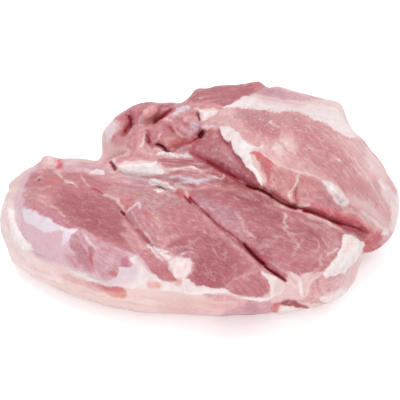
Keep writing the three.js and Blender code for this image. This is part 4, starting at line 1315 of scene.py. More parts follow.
# Steps, higher on the left going along the line, or for a negative height on its right.
# name: (height in mm, reach in mm, line)
LEDGES = {
    "torn edge": (2.8, 7.0, [
        (203, 127), (212, 128), (218, 128), (221, 136), (226, 141), (231, 143), (235, 153), (240, 158),
        (246, 168), (253, 173), (257, 183), (262, 188), (269, 190),
    ]),
    "rim of the cut face": (1.6, 6.0, [
        (251, 152), (262, 154), (276, 164), (296, 171), (312, 176), (328, 182), (338, 190), (344, 200),
        (358, 208), (374, 219), (386, 230),
    ]),
    "piece on the cut face": (1.8, 4.0, [(299, 173), (297, 181), (293, 189), (290, 195), (292, 202)]),
    "right of the piece": (1.0, 3.0, [(312, 207), (316, 197), (320, 186)]),
    "rim of the knob's right bulge": (2.4, 6.0, [
        (166, 120), (171, 123), (176, 130), (184, 135), (193, 139),
    ]),
    "rim of the pocket": (2.4, 5.0, [(187, 106), (176, 112), (166, 118), (156, 123)]),
    "red flap": (0.9, 4.0, [
        (158, 164), (163, 169), (171, 172), (180, 171), (187, 169), (195, 169), (206, 173), (220, 179),
    ]),
    "back strip": (1.8, 4.0, [(118, 168), (131, 172), (148, 174), (163, 175)]),
    "edge of the lobes": (0.9, 4.0, [
        (9, 206), (9, 220), (16, 233), (30, 249), (46, 258), (65, 269), (82, 275), (98, 281),
        (116, 285), (132, 289), (162, 290), (190, 294), (222, 294), (246, 301), (264, 301), (274, 297),
    ]),
    "cap of the right lobe": (1.2, 4.0, [(343, 235), (342, 244), (338, 253), (330, 264), (322, 272)]),
    "right edge of the left lobe": (-1.5, 5.0, [
        (96, 189), (106, 195), (116, 202), (124, 212), (131, 223), (140, 235), (150, 247), (160, 259),
    ]),
    "top of the outer muscle": (-1.4, 6.0, [
        (202, 122), (215, 113), (226, 108), (257, 108), (284, 111), (304, 113), (317, 119), (331, 128),
        (351, 138),
    ]),
    "front of the back muscle": (1.2, 5.0, [
        (190, 104), (208, 108), (222, 108), (236, 102), (250, 94), (262, 92),
    ]),
    "fat lump": (1.2, 3.0, [
        (168, 261), (172, 270), (178, 279), (186, 277), (192, 270), (194, 263), (186, 258), (176, 257),
    ]),
    "film on the left lobe": (-0.7, 3.0, [
        (21, 208), (32, 212), (45, 217), (56, 223), (66, 229), (78, 230),
    ]),
    "top left lumps": (1.6, 4.0, [(30, 169), (42, 170), (53, 171), (62, 175), (72, 182)]),
}

# Edges of the solid that the meat doesn't have. name: (reach in mm, line)
SOFTENED = {
    "edge round the right lobe's end": (6.0, [
        (292, 286), (300, 284), (312, 281), (324, 276), (336, 270), (346, 261), (351, 252), (352, 243),
        (348, 234),
    ]),
    "edge beside the middle lobe's tip": (5.0, [(266, 270), (270, 278), (276, 286), (284, 291)]),
    "line along the skin": (6.0, [
        (14, 246), (24, 258), (36, 268), (50, 277), (62, 284), (80, 289), (100, 292), (124, 293),
        (150, 292),
    ]),
    "line along the skin's right": (6.0, [(150, 292), (180, 296), (210, 300), (240, 303)]),
    "line beside the strip": (4.0, [(84, 182), (96, 184), (108, 190), (116, 198)]),
}

# Small pulls on the outline, all in pixels. name: (place, pull across and down, reach)
PULLS = {
    "upper left end": ((7, 188), (-8, -3), 11),
    "lower left end": ((13, 262), (-4, 4), 14),
    "front left": ((34, 279), (-3, 3), 14),
    "top left lump": ((49, 157), (-1, -4), 7),
    "left of the top left lump": ((33, 166), (0, 1.5), 8),
    "left foot of the knob": ((99, 152), (2, 2), 7),
    "left corner of the knob": ((104, 132), (-2, -1), 7),
    "upper left of the back muscle": ((197, 91), (-2, -5), 8),
    "left of the back muscle": ((187, 98), (0.5, 0), 7),
    "notch at the back": ((268, 87), (0, 6), 6),
    "top of the knob": ((160, 101), (0, 2), 14),
    "top of the back muscle": ((237, 84), (0, 2), 10),
    "back right of the outer muscle": ((316, 96), (0, 1.5), 10),
    "tip beside the notch": ((259, 84), (0, -2), 5),
    "back of the outer muscle": ((302, 91), (0, 4), 20),
    "corner of the band": ((339, 106), (3, -4), 9),
    "upper right": ((372, 152), (-2.5, 3), 22),
    "right corner": ((397, 206), (1, -1), 10),
    "right of the right lobe": ((358, 270), (-4, -2), 12),
}

# ---- Placing what is named in pixels --------------------------------------------------------------


class Eye:
    """A pinhole camera that looks at a target, for placing what is named in pixels."""

    def __init__(self, target, azimuth, elevation, distance):
        turn, tilt = math.radians(azimuth), math.radians(elevation)
        ahead, rise = math.cos(tilt), math.sin(tilt)
        self.forward = np.array([-math.sin(turn) * ahead, math.cos(turn) * ahead, -rise])
        self.right = np.array([math.cos(turn), math.sin(turn), 0.0])
        self.up = np.cross(self.right, self.forward)
        self.place = np.array(target) - self.forward * distance

    def pixels(self, points):
        away = points - self.place
        depth = away @ self.forward
        across = PHOTO_CENTRE + PHOTO_FOCAL * (away @ self.right) / depth
        down = PHOTO_CENTRE - PHOTO_FOCAL * (away @ self.up) / depth
        return np.stack([across, down], axis=1)

    def ray(self, pixel):
        across = (pixel[0] - PHOTO_CENTRE) / PHOTO_FOCAL
        down = (pixel[1] - PHOTO_CENTRE) / PHOTO_FOCAL
        return Vector(self.forward + self.right * across - self.up * down).normalized()

    def hit(self, tree, pixel):
        return tree.ray_cast(Vector(self.place), self.ray(pixel))[0]

    def sees(self, tree, points, normals):
        """Whether nothing stands between the camera and each point."""
        seen = np.zeros(len(points), bool)
        facing = ((self.place - points) * normals).sum(1) > 0
        for i in np.flatnonzero(facing):
            start = Vector(points[i] + normals[i] * SIGHT_LIFT)
            seen[i] = tree.ray_cast(start, Vector(self.place) - start)[0] is None
        return seen


PHOTO_EYE = Eye(PHOTO_TARGET, PHOTO_AZIMUTH, PHOTO_ELEVATION, PHOTO_DISTANCE)

# ---- Noise ----------------------------------------------------------------------------------------

SEED_GAP = 31.7  # how far apart, in lumps, the noises of two seeds lie
CELL_KEYS = np.array([73856093, 19349663, 83492791])  # large numbers that scramble a cell's place
SCRAMBLE = 1274126177
SCRAMBLE_BITS = 13
LARGEST_KEY = 0x7FFFFFFF
MIDDLE_KEY = 0x3FFFFFFF


def lattice_noise(points, size, seed):
    """Smooth noise between -1 and 1 whose lumps are about size across."""
    cell = points / size + SEED_GAP * (seed + 1)
    low = np.floor(cell).astype(np.int64)
    share = eased(cell - low)
    total = np.zeros(len(points))
    for corner in itertools.product((0, 1), repeat=3):
        key = (low + corner) @ CELL_KEYS
        key = (key ^ (key >> SCRAMBLE_BITS)) * SCRAMBLE & LARGEST_KEY
        weight = np.prod(np.where(corner, share, 1 - share), axis=1)
        total += weight * (key / MIDDLE_KEY - 1)
    return total


def noise(points, name):
    strength, size, seed = NOISES[name]
    return strength * lattice_noise(points, size, seed)


# ---- Curves and distances -------------------------------------------------------------------------


def eased(share):
    return share * share * (3 - 2 * share)


def step(value, low, high):
    """0 below low, 1 above high, and smooth between."""
    return eased(np.clip((value - low) / (high - low), 0, 1))


def smooth_path(points, closed=False):
    """A Catmull-Rom curve through the points."""
    points = np.array(points, float)
    if closed:
        ring = np.concatenate([points[-1:], points, points[:2]])
    else:
        ring = np.concatenate([points[:1], points, points[-1:]])
    path = []
    for a, b, c, d in zip(ring, ring[1:], ring[2:], ring[3:]):
        for t in np.arange(CURVE_STEPS) / CURVE_STEPS:
            bend = 2 * a - 5 * b + 4 * c - d + t * (3 * (b - c) + d - a)
            path.append(b + 0.5 * t * (c - a + t * bend))
    path.append(ring[-2])
    return np.array(path)


def path_distance(points, path):
    """The distance from each point to a path, and how far along it the nearest place is, 0 to 1."""
    best = np.full(len(points), np.inf)
    where = np.zeros(len(points))
    for i, (a, b) in enumerate(zip(path, path[1:])):
        run = b - a
        share = np.clip((points - a) @ run / max(run @ run, TINY), 0, 1)
        gap = np.linalg.norm(points - a - share[:, None] * run, axis=1)
        nearer = gap < best
        best[nearer] = gap[nearer]
        where[nearer] = (i + share[nearer]) / (len(path) - 1)
    return best, where


def path_side(points, normals, path):
    """How far to the left of a path on the surface each point is."""
    _, where = path_distance(points, path)
    last = len(path) - 1
    i = np.minimum((where * last).astype(int), last - 1)
    ahead = path[np.minimum(i + NEAR_AHEAD, last)] - path[np.maximum(i - NEAR_BEHIND, 0)]
    ahead /= np.maximum(np.linalg.norm(ahead, axis=1), TINY)[:, None]
    nearest = path[i] + (where * last - i)[:, None] * (path[i + 1] - path[i])
    return ((points - nearest) * np.cross(normals, ahead)).sum(1)


def tapered(where, ends):
    """1 in the middle of a line, falling towards its two ends."""
    slope, least = ends
    return np.clip(slope * np.minimum(where, 1 - where) + least, 0, 1)


def inside_outline(points, path):
    """Whether each point is inside a closed path."""
    within = np.zeros(len(points), bool)
    for (ax, ay), (bx, by) in zip(path, path[1:]):
        if ay != by:
            crosses = (ay > points[:, 1]) != (by > points[:, 1])
            within ^= crosses & (points[:, 0] < ax + (bx - ax) * (points[:, 1] - ay) / (by - ay))
    return within


def near(points, path, margin):
    """The numbers of the points in a path's box, grown by a margin."""
    low, high = path.min(0) - margin, path.max(0) + margin
    return np.flatnonzero(((points > low) & (points < high)).all(1))


# ---- A mesh as arrays -----------------------------------------------------------------------------


class Surface:
    """A mesh's vertices as arrays, with what is worked out from them."""

    def __init__(self, mesh):
        self.mesh = mesh
        self.count = len(mesh.vertices)
        self.points = self.read(mesh.vertices, "co", 3)
        self.edges = self.read(mesh.edges, "vertices", 2, np.int32)

    @staticmethod
    def read(items, key, width, kind=float):
        flat = np.empty(len(items) * width, np.float32 if kind is float else kind)
        items.foreach_get(key, flat)
        return flat.reshape(-1, width).astype(kind)

    def write(self):
        self.mesh.vertices.foreach_set("co", self.points.astype(np.float32).ravel())
        self.mesh.update()

    def normals(self):
        self.write()
        return self.read(self.mesh.vertex_normals, "vector", 3)

    def tree(self):
        self.write()
        faces = [tuple(face.vertices) for face in self.mesh.polygons]
        return BVHTree.FromPolygons([Vector(p) for p in self.points], faces)

    def smoothed(self, values, rounds):
        """Values with each vertex drawn halfway to the mean of its neighbours, rounds times."""
        values = np.array(values, float).reshape(self.count, -1)
        a, b = self.edges.T
        neighbours = np.bincount(a, minlength=self.count) + np.bincount(b, minlength=self.count)
        neighbours = np.maximum(neighbours, 1)
        for _ in range(rounds):
            for k in range(values.shape[1]):
                column = values[:, k]
                total = np.bincount(a, column[b], self.count) + np.bincount(b, column[a], self.count)
                values[:, k] = column + 0.5 * (total / neighbours - column)
        return values

    def grown(self, chosen, rounds):
        """The chosen vertices and their neighbours, rounds times."""
        return self.smoothed(chosen.astype(float), rounds)[:, 0] > TINY

    def rest_flat(self):
        low = self.points[:, 2] < FLAT_BELOW
        self.points[low, 2] *= np.clip(self.points[low, 2] / FLAT_BELOW, 0, 1)
        self.points[:, 2] = np.maximum(self.points[:, 2], 0)

    def attribute(self, name, values):
        width = 1 if np.ndim(values) == 1 else 3
        kind, key = ("FLOAT", "value") if width == 1 else ("FLOAT_VECTOR", "vector")
        layer = self.mesh.attributes.new(name, kind, "POINT")
        layer.data.foreach_set(key, np.asarray(values, np.float32).ravel())


# ---- Making the mesh ------------------------------------------------------------------------------


def evaluated_mesh(piece):
    graph = bpy.context.evaluated_depsgraph_get()
    mesh = bpy.data.meshes.new_from_object(piece.evaluated_get(graph))
    piece.modifiers.clear()
    return mesh


def fine_copy(node):
    """A copy of the solid remeshed in even quads, with few faces where it lies on the floor."""
    piece = bpy.data.objects.new("meat", node.data.copy())
    bpy.context.scene.collection.objects.link(piece)
    piece.data.materials.clear()
    remesh = piece.modifiers.new("even", "REMESH")
    remesh.mode = "VOXEL"
    remesh.voxel_size = COARSE
    piece.data = evaluated_mesh(piece)
    piece.data.name = "meat"
    thin_out_base(piece)
    return piece


def thin_out_base(piece):
    base = [v.index for v in piece.data.vertices if v.co.z < BASE_BELOW]
    piece.vertex_groups.new(name="base").add(base, 1.0, "REPLACE")
    thin = piece.modifiers.new("thin", "DECIMATE")
    thin.vertex_group = "base"
    thin.ratio = 1 - BASE_THINNED * len(base) / len(piece.data.vertices)
    mesh = evaluated_mesh(piece)
    piece.vertex_groups.clear()
    piece.data = mesh


def refine(mesh, chosen):
    """Splits every edge between two chosen vertices, and with them their faces."""
    work = bmesh.new()
    work.from_mesh(mesh)
    edges = [e for e in work.edges if chosen[e.verts[0].index] and chosen[e.verts[1].index]]
    bmesh.ops.subdivide_edges(work, edges=edges, cuts=1, use_grid_fill=True)
    work.to_mesh(mesh)
    work.free()


# ---- Modelling the surface ------------------------------------------------------------------------


def surface_path(tree, line):
    """The smooth curve through a line of pixels, where the camera sees it on the surface."""
    hits = [PHOTO_EYE.hit(tree, pixel) for pixel in smooth_path(line)]
    return np.array([hit for hit in hits if hit is not None])


def pull(surface):
    """Draws parts of the outline a little way across the photograph."""
    pixels = PHOTO_EYE.pixels(surface.points)
    standing = np.clip(surface.points[:, 2] / PULLS_FROM, 0, 1)
    for place, (across, down), reach in PULLS.values():
        gap = np.linalg.norm(pixels - np.array(place), axis=1)
        move = MM * MM_PER_PIXEL * (PHOTO_EYE.right * across - PHOTO_EYE.up * down)
        surface.points += (standing * np.exp(-((gap / reach) ** 2)))[:, None] * move


def soften(surface, path, reach):
    """Smooths the surface along a path."""
    some = near(surface.points, path, reach * MM)
    gap, _ = path_distance(surface.points[some], path)
    share = np.zeros(surface.count)
    share[some] = np.clip(SOFTEN_FULL - gap / (reach * MM) * SOFTEN_FULL, 0, 1)
    calm = surface.smoothed(surface.points, SOFTEN_SMOOTHING)
    surface.points += share[:, None] * (calm - surface.points)


def carve(surface, path, depth, width):
    """Presses a groove, or for a negative depth raises a ridge, along a path."""
    some = near(surface.points, path, GROOVE_REACH * width * MM)
    gap, where = path_distance(surface.points[some], path)
    across = np.exp(-((gap / (width * MM)) ** GROOVE_POWER))
    push = depth * MM * tapered(where, GROOVE_ENDS) * across
    surface.points[some] -= surface.outward[some] * push[:, None]


def raise_side(surface, path, height, reach):
    """Lifts what is left of a path and lowers what is right of it, each by half the height."""
    some = near(surface.points, path, STEP_REACH * reach * MM)
    gap, where = path_distance(surface.points[some], path)
    side = path_side(surface.points[some], surface.outward[some], path)
    across = np.tanh(side / STEP_WIDTH) * np.exp(-((gap / (reach * MM)) ** 2))
    push = 0.5 * height * MM * tapered(where, STEP_ENDS) * across
    surface.points[some] += surface.outward[some] * push[:, None]


def modelled(piece):
    """The piece's surface with all that is modelled on it, refined where the camera sees it."""
    surface = Surface(piece.data)
    surface.points = surface.smoothed(surface.points, SMOOTH_ROUNDS)
    pull(surface)
    surface.rest_flat()
    seen = PHOTO_EYE.sees(surface.tree(), surface.points, surface.normals())
    refine(piece.data, surface.grown(seen, SEEN_MARGIN))
    surface = Surface(piece.data)
    surface.points = surface.smoothed(surface.points, REFINED_SMOOTHING)
    surface.outward = surface.smoothed(surface.normals(), OUTWARD_SMOOTHING)
    tree = surface.tree()
    for change, table in ((soften, SOFTENED), (carve, FORMS), (raise_side, LEDGES)):
        for *sizes, line in table.values():
            path = surface_path(tree, line)
            if len(path) > 1:
                change(surface, path, *sizes)
    surface.points = surface.smoothed(surface.points, 1)
    surface.rest_flat()
    return surface


# ---- Painting the surface -------------------------------------------------------------------------


def linear(name):
    """A colour of the palette as linear light, by the sRGB standard, dimmed for the lamps."""
    value = np.array(PALETTE[name]) / 255
    return LAMP_SHARE * np.where(value > 0.04045, ((value + 0.055) / 1.055) ** 2.4, value / 12.92)


def repeated(name, count):
    """The same colour of the palette for each of count vertices."""
    return np.tile(linear(name), (count, 1))


def blend(base, over, weight):
    weight = weight[:, None]
    return base * (1 - weight) + over * weight


def area_distance(pixels, outline):
    """How far inside an outline each pixel place is, in millimetres; outside it is negative."""
    path = smooth_path(outline, closed=True)
    depth = np.full(len(pixels), FAR)
    some = near(pixels, path, -FAR / MM_PER_PIXEL)
    gap, _ = path_distance(pixels[some], path)
    gap *= MM_PER_PIXEL
    depth[some] = np.where(inside_outline(pixels[some], path), gap, -gap)
    return np.maximum(depth, FAR)


def line_weight(pixels, line, width, softness):
    """1 on a line of pixels, falling to 0 beyond its half width."""
    path = smooth_path(line)
    weight = np.zeros(len(pixels))
    some = near(pixels, path, width + SOFT_REACH * softness)
    gap, where = path_distance(pixels[some], path)
    ends = tapered(where, STROKE_ENDS)
    beyond = np.maximum(gap - width * ends / 2, 0)
    weight[some] = np.exp(-((beyond / softness) ** 2)) * np.minimum(ends + STROKE_FIRM, 1)
    return weight


def areas_painted(tone, pixels, areas):
    """The tone with the areas of a table over it."""
    for colour, softness, outline in areas.values():
        inside = step(area_distance(pixels, outline), -softness, softness)
        tone = blend(tone, linear(colour), inside)
    return tone


def photographed_tone(pixels):
    """The colour without fat and film of what the photograph shows."""
    tone = areas_painted(repeated("skin", len(pixels)), pixels, TONES)
    for colour, width, softness, strength, line in BANDS.values():
        tone = blend(tone, linear(colour), strength * line_weight(pixels, line, width, softness))
    places = np.pad(pixels, ((0, 0), (0, 1)))
    for seed, (colour, width, strength, line) in enumerate(LINES.values(), BREAK_SEED):
        broken = BREAK_MEAN + BREAK_SWING * lattice_noise(places, BREAK_SIZE, seed)
        weight = line_weight(pixels, line, width, LINE_SOFTNESS)
        tone = blend(tone, linear(colour), strength * broken * weight)
    return tone


def fat_and_film(pixels):
    """How deep inside their outlines the fat and the film of the photograph are."""
    fat = np.max([area_distance(pixels, outline) for outline in FAT_AREAS.values()], axis=0)
    film = np.full(len(pixels), FAR)
    for strength, outline in FILM_AREAS.values():
        most = FILM_RISE * strength + FILM_NONE
        film = np.maximum(film, np.minimum(area_distance(pixels, outline), most))
    for colour, width, softness, strength, line in BANDS.values():
        if colour != "white":
            covered = COVER * strength * line_weight(pixels, line, width, softness)
            fat -= covered
            film -= covered
    return fat, film


def seam_shade(pixels):
    """How dark the painted shade of the seams, clefts and gaps makes each place."""
    shade = np.zeros(len(pixels))
    for width, softness, strength, line in SHADES.values():
        shade = np.maximum(shade, strength * line_weight(pixels, line, width, softness))
    return shade


def far_side(points):
    """Tone, fat and film of the sides that the photograph doesn't show."""
    rim = RIM_HEIGHT + noise(points, "rim") + noise(points, "fine rim")
    height = (points[:, 2] - rim) / MM
    patches = noise(points, "patches") + noise(points, "small patches")
    tone = repeated("light muscle", len(points))
    for colour, value, low, high in (
        ("muscle", patches, 0.0, 0.5),
        ("pink muscle", -patches, 0.1, 0.5),
        ("pale muscle", noise(points, "pale patches"), 0.25, 0.6),
    ):
        tone = blend(tone, linear(colour), step(value, low, high))
    skin_patches = step(noise(points, "skin patches"), 0, 0.5)
    skin = blend(repeated("skin", len(points)), linear("pink skin"), skin_patches)
    tone = blend(tone, skin, step(-height, -RIM_SOFTNESS, RIM_SOFTNESS))
    fat = RIM_HALF - np.abs(height - RIM_MIDDLE) + noise(points, "width of the rim")
    veil = noise(points, "veil") + noise(points, "fine veil")
    film = np.where(height > VEIL_ABOVE, VEIL_RISE * (veil - VEIL_FROM), FAR)
    return tone, np.clip(fat, FAR, DEEP), np.clip(film, FAR, DEEP)


def nearest_seen(points, seen):
    """For each point that the camera doesn't see, the nearest one that it does, and how far it is."""
    tree = KDTree(int(seen.sum()))
    for i in np.flatnonzero(seen):
        tree.insert(points[i], i)
    tree.balance()
    found = [tree.find(points[i]) for i in np.flatnonzero(~seen)]
    return np.array([index for _, index, _ in found]), np.array([gap for _, _, gap in found])


def paint(surface):
    """Stores on the vertices what the material needs, and gives the surface its fine relief."""
    points = surface.points
    seen = PHOTO_EYE.sees(surface.tree(), points, surface.normals())
    pixels = PHOTO_EYE.pixels(points)
    wandering = pixels.copy()
    for axis in range(2):
        wandering[:, axis] += noise(points, f"wander {axis}")
        wandering[:, axis] += noise(points, f"fine wander {axis}")
    tone = photographed_tone(wandering)
    tint = areas_painted(repeated("fat", surface.count), wandering, FAT_TINTS)
    fat, film = fat_and_film(wandering)
    shade = seam_shade(pixels)

    source, distance = nearest_seen(points, seen)
    hidden = np.flatnonzero(~seen)
    far_tone, far_fat, far_film = far_side(points[hidden])
    away = step(distance, CARRY_FROM, CARRY_TO)
    lost, held = DEPTH_LOST * distance / MM, DEPTH_HELD * (1 - away)
    tone[hidden] = blend(tone[source], far_tone, away)
    tint[hidden] = blend(tint[source], linear("fat"), away)
    fat[hidden] = np.maximum(fat[source] - lost, far_fat - held)
    film[hidden] = np.maximum(film[source] - lost, far_film - held)
    shade[hidden] = shade[source] * step(-distance, -SHADE_CARRY, 0)

    grain, which, streaks = grain_places(points, pixels, seen)
    skin = step(-np.linalg.norm(tone - linear("skin"), axis=1), -SKIN_FAR, -SKIN_NEAR)
    roughen(surface, grain, fat, film, skin)
    for name, values in {
        "tone": tone,
        "tint": tint,
        "fat": fat,
        "film": film,
        "shade": shade,
        "skin": skin,
        "border": borders(surface, which),
        "streaks": surface.smoothed(streaks, STREAK_SMOOTHING)[:, 0],
        "hollow": hollows(surface),
        "grain": grain,
    }.items():
        surface.attribute(name, values)


# ---- Giving the surface grain and relief ----------------------------------------------------------


def grain_places(points, pixels, seen):
    """Places in mm whose first axis runs along the grain, shortened so that it is drawn out."""
    along = np.tile(np.array([1.0, 0, 0]), (len(points), 1))
    best = np.zeros(len(points))
    which = np.zeros(len(points), int)
    streaks = np.full(len(points), FAR_STREAKS)
    stretch = np.full(len(points), FAR_STRETCH)
    for number, ((start, end), scale, strength, outline) in enumerate(GRAINS.values(), 1):
        run = np.array(end, float) - np.array(start, float)
        run /= np.linalg.norm(run)
        depth = np.where(seen, area_distance(pixels, outline), 0)
        better = depth > best
        best[better] = depth[better]
        along[better] = PHOTO_EYE.right * run[0] - PHOTO_EYE.up * run[1]
        stretch[better] = scale
        which[better] = number
        streaks[better] = strength
    side = np.cross(along, PHOTO_EYE.forward)
    side /= np.linalg.norm(side, axis=1)[:, None]
    axes = (stretch[:, None] * along, side, np.cross(along, side))
    return np.stack([(points * axis).sum(1) / MM for axis in axes], axis=1), which, streaks


def borders(surface, which):
    """1 where areas of different grain meet, falling to 0 a few millimetres away."""
    a, b = surface.edges.T
    mixed = which[a] != which[b]
    border = np.zeros(surface.count)
    border[a[mixed]] = 1
    border[b[mixed]] = 1
    wide = surface.grown(border, BORDER_WIDTH).astype(float)
    return np.maximum(surface.smoothed(wide, BORDER_WIDTH)[:, 0], surface.grown(border, 1))


def hollows(surface):
    """How far each vertex lies below, or for a negative value above, its surroundings, in mm."""
    mean = surface.smoothed(surface.points, HOLLOW_SMOOTHING)
    depth = ((mean - surface.points) * surface.normals()).sum(1) / MM
    return surface.smoothed(depth, 1)[:, 0]


def roughen(surface, places, fat, film, skin):
    """Moves the vertices by the meat's grain, the fat's lumps and the thickness of the film."""
    points = surface.points
    grain = places * RELIEF_SHORTER
    bundles = noise(grain, "bundles") + noise(grain, "fibres")
    swell = noise(points, "swell") + noise(points, "small swell")
    lumps = FAT_STANDS + noise(points, "fat lumps") + noise(points, "small fat lumps")
    on_fat = step(fat, *FAT_EDGE)
    on_film = step(film, *FILM_EDGE)
    bare = (1 - SKIN_CALM * skin) * (1 - on_fat) * (1 - FILM_CALM * on_film)
    push = (bundles + swell) * bare + lumps * on_fat + FILM_STANDS * on_film
    surface.points = points + surface.normals() * push[:, None] * MM
    surface.rest_flat()


# ---- Making the materials -------------------------------------------------------------------------


def shown(name):
    """A colour for the material, as linear light."""
    return LINEAR_COLOURS[name] if name in LINEAR_COLOURS else tuple(linear(name))


class Graph:
    """Short ways to add nodes to a material."""

    def __init__(self, material):
        self.nodes = material.node_tree.nodes
        self.links = material.node_tree.links
        self.shader = self.nodes["Principled BSDF"]
        self.textures = {}
        piece = self.nodes.new("ShaderNodeTexCoord").outputs["Object"]
        self.places = {"piece": piece, "grain": self.attribute("grain", "Vector")}

    def set(self, socket, value):
        if isinstance(value, bpy.types.NodeSocket):
            self.links.new(value, socket)
        elif isinstance(value, tuple) and len(value) == 3 and socket.type == "RGBA":
            socket.default_value = (*value, 1)
        else:
            socket.default_value = value

    def add(self, kind, settings):
        node = self.nodes.new(kind)
        for key, value in settings.items():
            self.set(node.inputs[key], value)
        return node

    def attribute(self, name, output="Fac"):
        node = self.nodes.new("ShaderNodeAttribute")
        node.attribute_name = name
        return node.outputs[output]

    def math(self, operation, *values):
        node = self.add("ShaderNodeMath", dict(enumerate(values)))
        node.operation = operation
        return node.outputs[0]

    def times(self, first, second):
        return self.math("MULTIPLY", first, second)

    def less(self, value):
        """1 less a value."""
        return self.math("SUBTRACT", 1.0, value)

    def texture(self, name):
        """The named noise, made once, or the veins where the marbling's noise is at its mean."""
        if name == "veins":
            return self.math("ABSOLUTE", self.math("SUBTRACT", self.texture("marbling"), NOISE_MEAN))
        if name not in self.textures:
            follows, scale, detail, roughness = TEXTURES[name]
            settings = {"Vector": self.places[follows], "Scale": scale, "Detail": detail}
            node = self.add("ShaderNodeTexNoise", {**settings, "Roughness": roughness})
            self.textures[name] = node.outputs["Fac"]
        return self.textures[name]

    def step(self, value, low, high, bottom, top):
        ends = {"From Min": low, "From Max": high, "To Min": bottom, "To Max": top}
        node = self.add("ShaderNodeMapRange", {"Value": value, **ends})
        node.interpolation_type = "SMOOTHSTEP"
        return node.outputs[0]

    def ramp(self, value, name):
        return self.step(value, *RAMPS[name])

    def mix(self, factor, first, second, kind="MIX"):
        node = self.nodes.new("ShaderNodeMix")
        node.data_type = "RGBA"
        node.blend_type = kind
        colours = [socket for socket in node.inputs if socket.type == "RGBA"]
        for socket, value in zip((node.inputs["Factor"], *colours), (factor, first, second)):
            self.set(socket, value)
        return next(socket for socket in node.outputs if socket.type == "RGBA")

    def bump(self, settings):
        return self.add("ShaderNodeBump", settings).outputs["Normal"]


def plain_material(name, colour, roughness):
    material = bpy.data.materials.new(name)
    material.use_nodes = True
    shader = material.node_tree.nodes["Principled BSDF"]
    shader.inputs["Base Color"].default_value = (*colour, 1)
    shader.inputs["Roughness"].default_value = roughness
    return material


def muscle_colour(graph, lean, clear):
    """The muscle's tone, mottled, drawn out along its grain and marbled."""
    streaks = graph.attribute("streaks")
    grained = graph.times(lean, clear)
    calm = graph.ramp(streaks, "less mottled where streaked")
    calm = graph.times(calm, graph.ramp(streaks, "less mottled where plain"))
    places = {
        "mottled": graph.times(lean, calm),
        "grained": grained,
        "streaked": graph.times(grained, streaks),
    }
    colour = graph.attribute("tone", "Vector")
    for texture, low, high, strength, over, where in MUSCLE_LAYERS:
        amount = graph.step(graph.texture(texture), low, high, 0.0, strength)
        colour = graph.mix(graph.times(amount, places[where]), colour, shown(over))
    return colour


def covered(graph, muscle, film_mask, fat_mask):
    """The film and the fat over the muscle."""
    whiter = graph.ramp(graph.texture("mottle"), "from lilac to white film")
    film = graph.mix(whiter, shown("film"), shown("lilac white"))
    blush = graph.times(graph.ramp(graph.texture("blush"), "blush of the fat"), BLUSH)
    fat = graph.mix(blush, graph.attribute("tint", "Vector"), shown("pink fat"))
    colour = graph.mix(graph.times(film_mask, FILM_COVER), muscle, film)
    return graph.mix(graph.times(fat_mask, FAT_COVER), colour, fat)


def with_painted_shade_and_highlight(graph, colour, crease, hollow):
    """The colour with painted shade, red and then black, in its creases, and a painted highlight on its
    ridges.
    """
    colour = graph.mix(graph.ramp(crease, "painted shade to red"), colour, shown("crease red"))
    colour = graph.mix(graph.ramp(crease, "painted shade to black"), colour, shown("crease black"))
    return graph.mix(graph.ramp(hollow, "ridge to painted highlight"), colour, shown("ridge light"), "MULTIPLY")


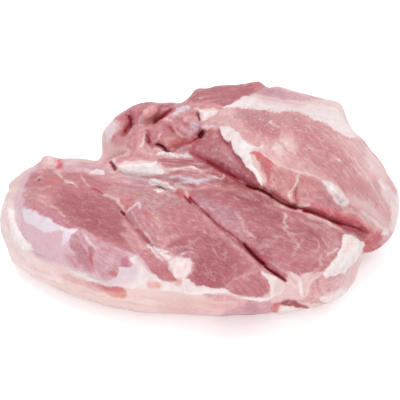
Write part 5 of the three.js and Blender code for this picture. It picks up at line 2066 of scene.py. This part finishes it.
def meat_material():
    material = plain_material("meat", shown("muscle"), MEAT_ROUGHNESS)
    graph = Graph(material)
    ragged = graph.times(graph.math("SUBTRACT", graph.texture("ragged"), NOISE_MEAN), RAGGED)
    fat_mask = graph.ramp(graph.math("ADD", graph.attribute("fat"), ragged), "edge of the fat")
    film_mask = graph.ramp(graph.math("ADD", graph.attribute("film"), ragged), "edge of the film")
    lean = graph.less(graph.times(graph.attribute("skin"), SKIN_PLAIN))
    clear = graph.less(graph.attribute("border"))
    hollow = graph.attribute("hollow")
    lean_only = graph.times(lean, graph.ramp(fat_mask, "less painted shade in fat"))
    # The painted shade: darker in hollows, or the painted shade of the seams where that is darker.
    crease = graph.times(graph.ramp(hollow, "hollow to painted shade"), lean_only)
    crease = graph.math("MAXIMUM", graph.attribute("shade"), crease)

    colour = covered(graph, muscle_colour(graph, lean, clear), film_mask, fat_mask)
    rough = graph.ramp(film_mask, "film to roughness")
    rough = graph.math("ADD", rough, graph.times(crease, PAINTED_SHADE_DULL))
    rough = graph.math("ADD", rough, graph.times(graph.texture("mottle"), MOTTLE_DULL))
    fibres = graph.times(graph.texture("fibre"), clear)
    relief = graph.bump({"Height": fibres, "Distance": FIBRE_RELIEF})
    relief = graph.bump({"Height": graph.texture("pores"), "Distance": PORE_RELIEF, "Normal": relief})
    for socket, value in {
        "Base Color": with_painted_shade_and_highlight(graph, colour, crease, hollow),
        "Roughness": rough,
        "Specular IOR Level": graph.ramp(crease, "painted shade to specular"),
        "Coat Weight": graph.ramp(crease, "painted shade to coat"),
        "Normal": relief,
        **FLESH,
    }.items():
        graph.set(graph.shader.inputs[socket], value)
    return material


# ---- Making the stage -----------------------------------------------------------------------------


def linked(name, data):
    made = bpy.data.objects.new(name, data)
    bpy.context.scene.collection.objects.link(made)
    return made


def aim(made, place, forward):
    made.location = place
    made.rotation_euler = Vector(forward).to_track_quat("-Z", "Y").to_euler()


def floor():
    bpy.ops.mesh.primitive_plane_add(size=FLOOR_SIZE)
    ground = bpy.context.object
    ground.name = "floor"
    paper = plain_material("floor", FLOOR_COLOUR, FLOOR_ROUGHNESS)
    shader = paper.node_tree.nodes["Principled BSDF"]
    shader.inputs["Emission Color"].default_value = (*WHITE, 1)
    shader.inputs["Emission Strength"].default_value = FLOOR_GLOW
    ground.data.materials.append(paper)


def lights():
    world = bpy.data.worlds.new("studio")
    bpy.context.scene.world = world
    world.use_nodes = True
    sky = world.node_tree.nodes["Background"]
    sky.inputs["Color"].default_value = (*WHITE, 1)
    sky.inputs["Strength"].default_value = SKY_LIGHT
    for name, (place, size, power) in LAMPS.items():
        data = bpy.data.lights.new(name, "AREA")
        data.size = size
        data.energy = power
        aim(linked(name, data), place, Vector(PHOTO_TARGET) - Vector(place))
    bpy.context.scene.view_settings.view_transform = "Standard"


def camera():
    data = bpy.data.cameras.new("camera")
    data.sensor_width = SENSOR
    data.lens = SENSOR * PHOTO_FOCAL / PHOTO_FRAME
    made = linked("camera", data)
    aim(made, PHOTO_EYE.place, PHOTO_EYE.forward)
    bpy.context.scene.camera = made


# ---- The scene ------------------------------------------------------------------------------------

floor()
lights()
camera()
meat = fine_copy(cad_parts[NODE])
paint(modelled(meat))
meat.data.materials.append(meat_material())
for face in meat.data.polygons:
    face.use_smooth = True
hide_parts(NODE)
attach(meat, "root")

bpy.context.view_layer.update()
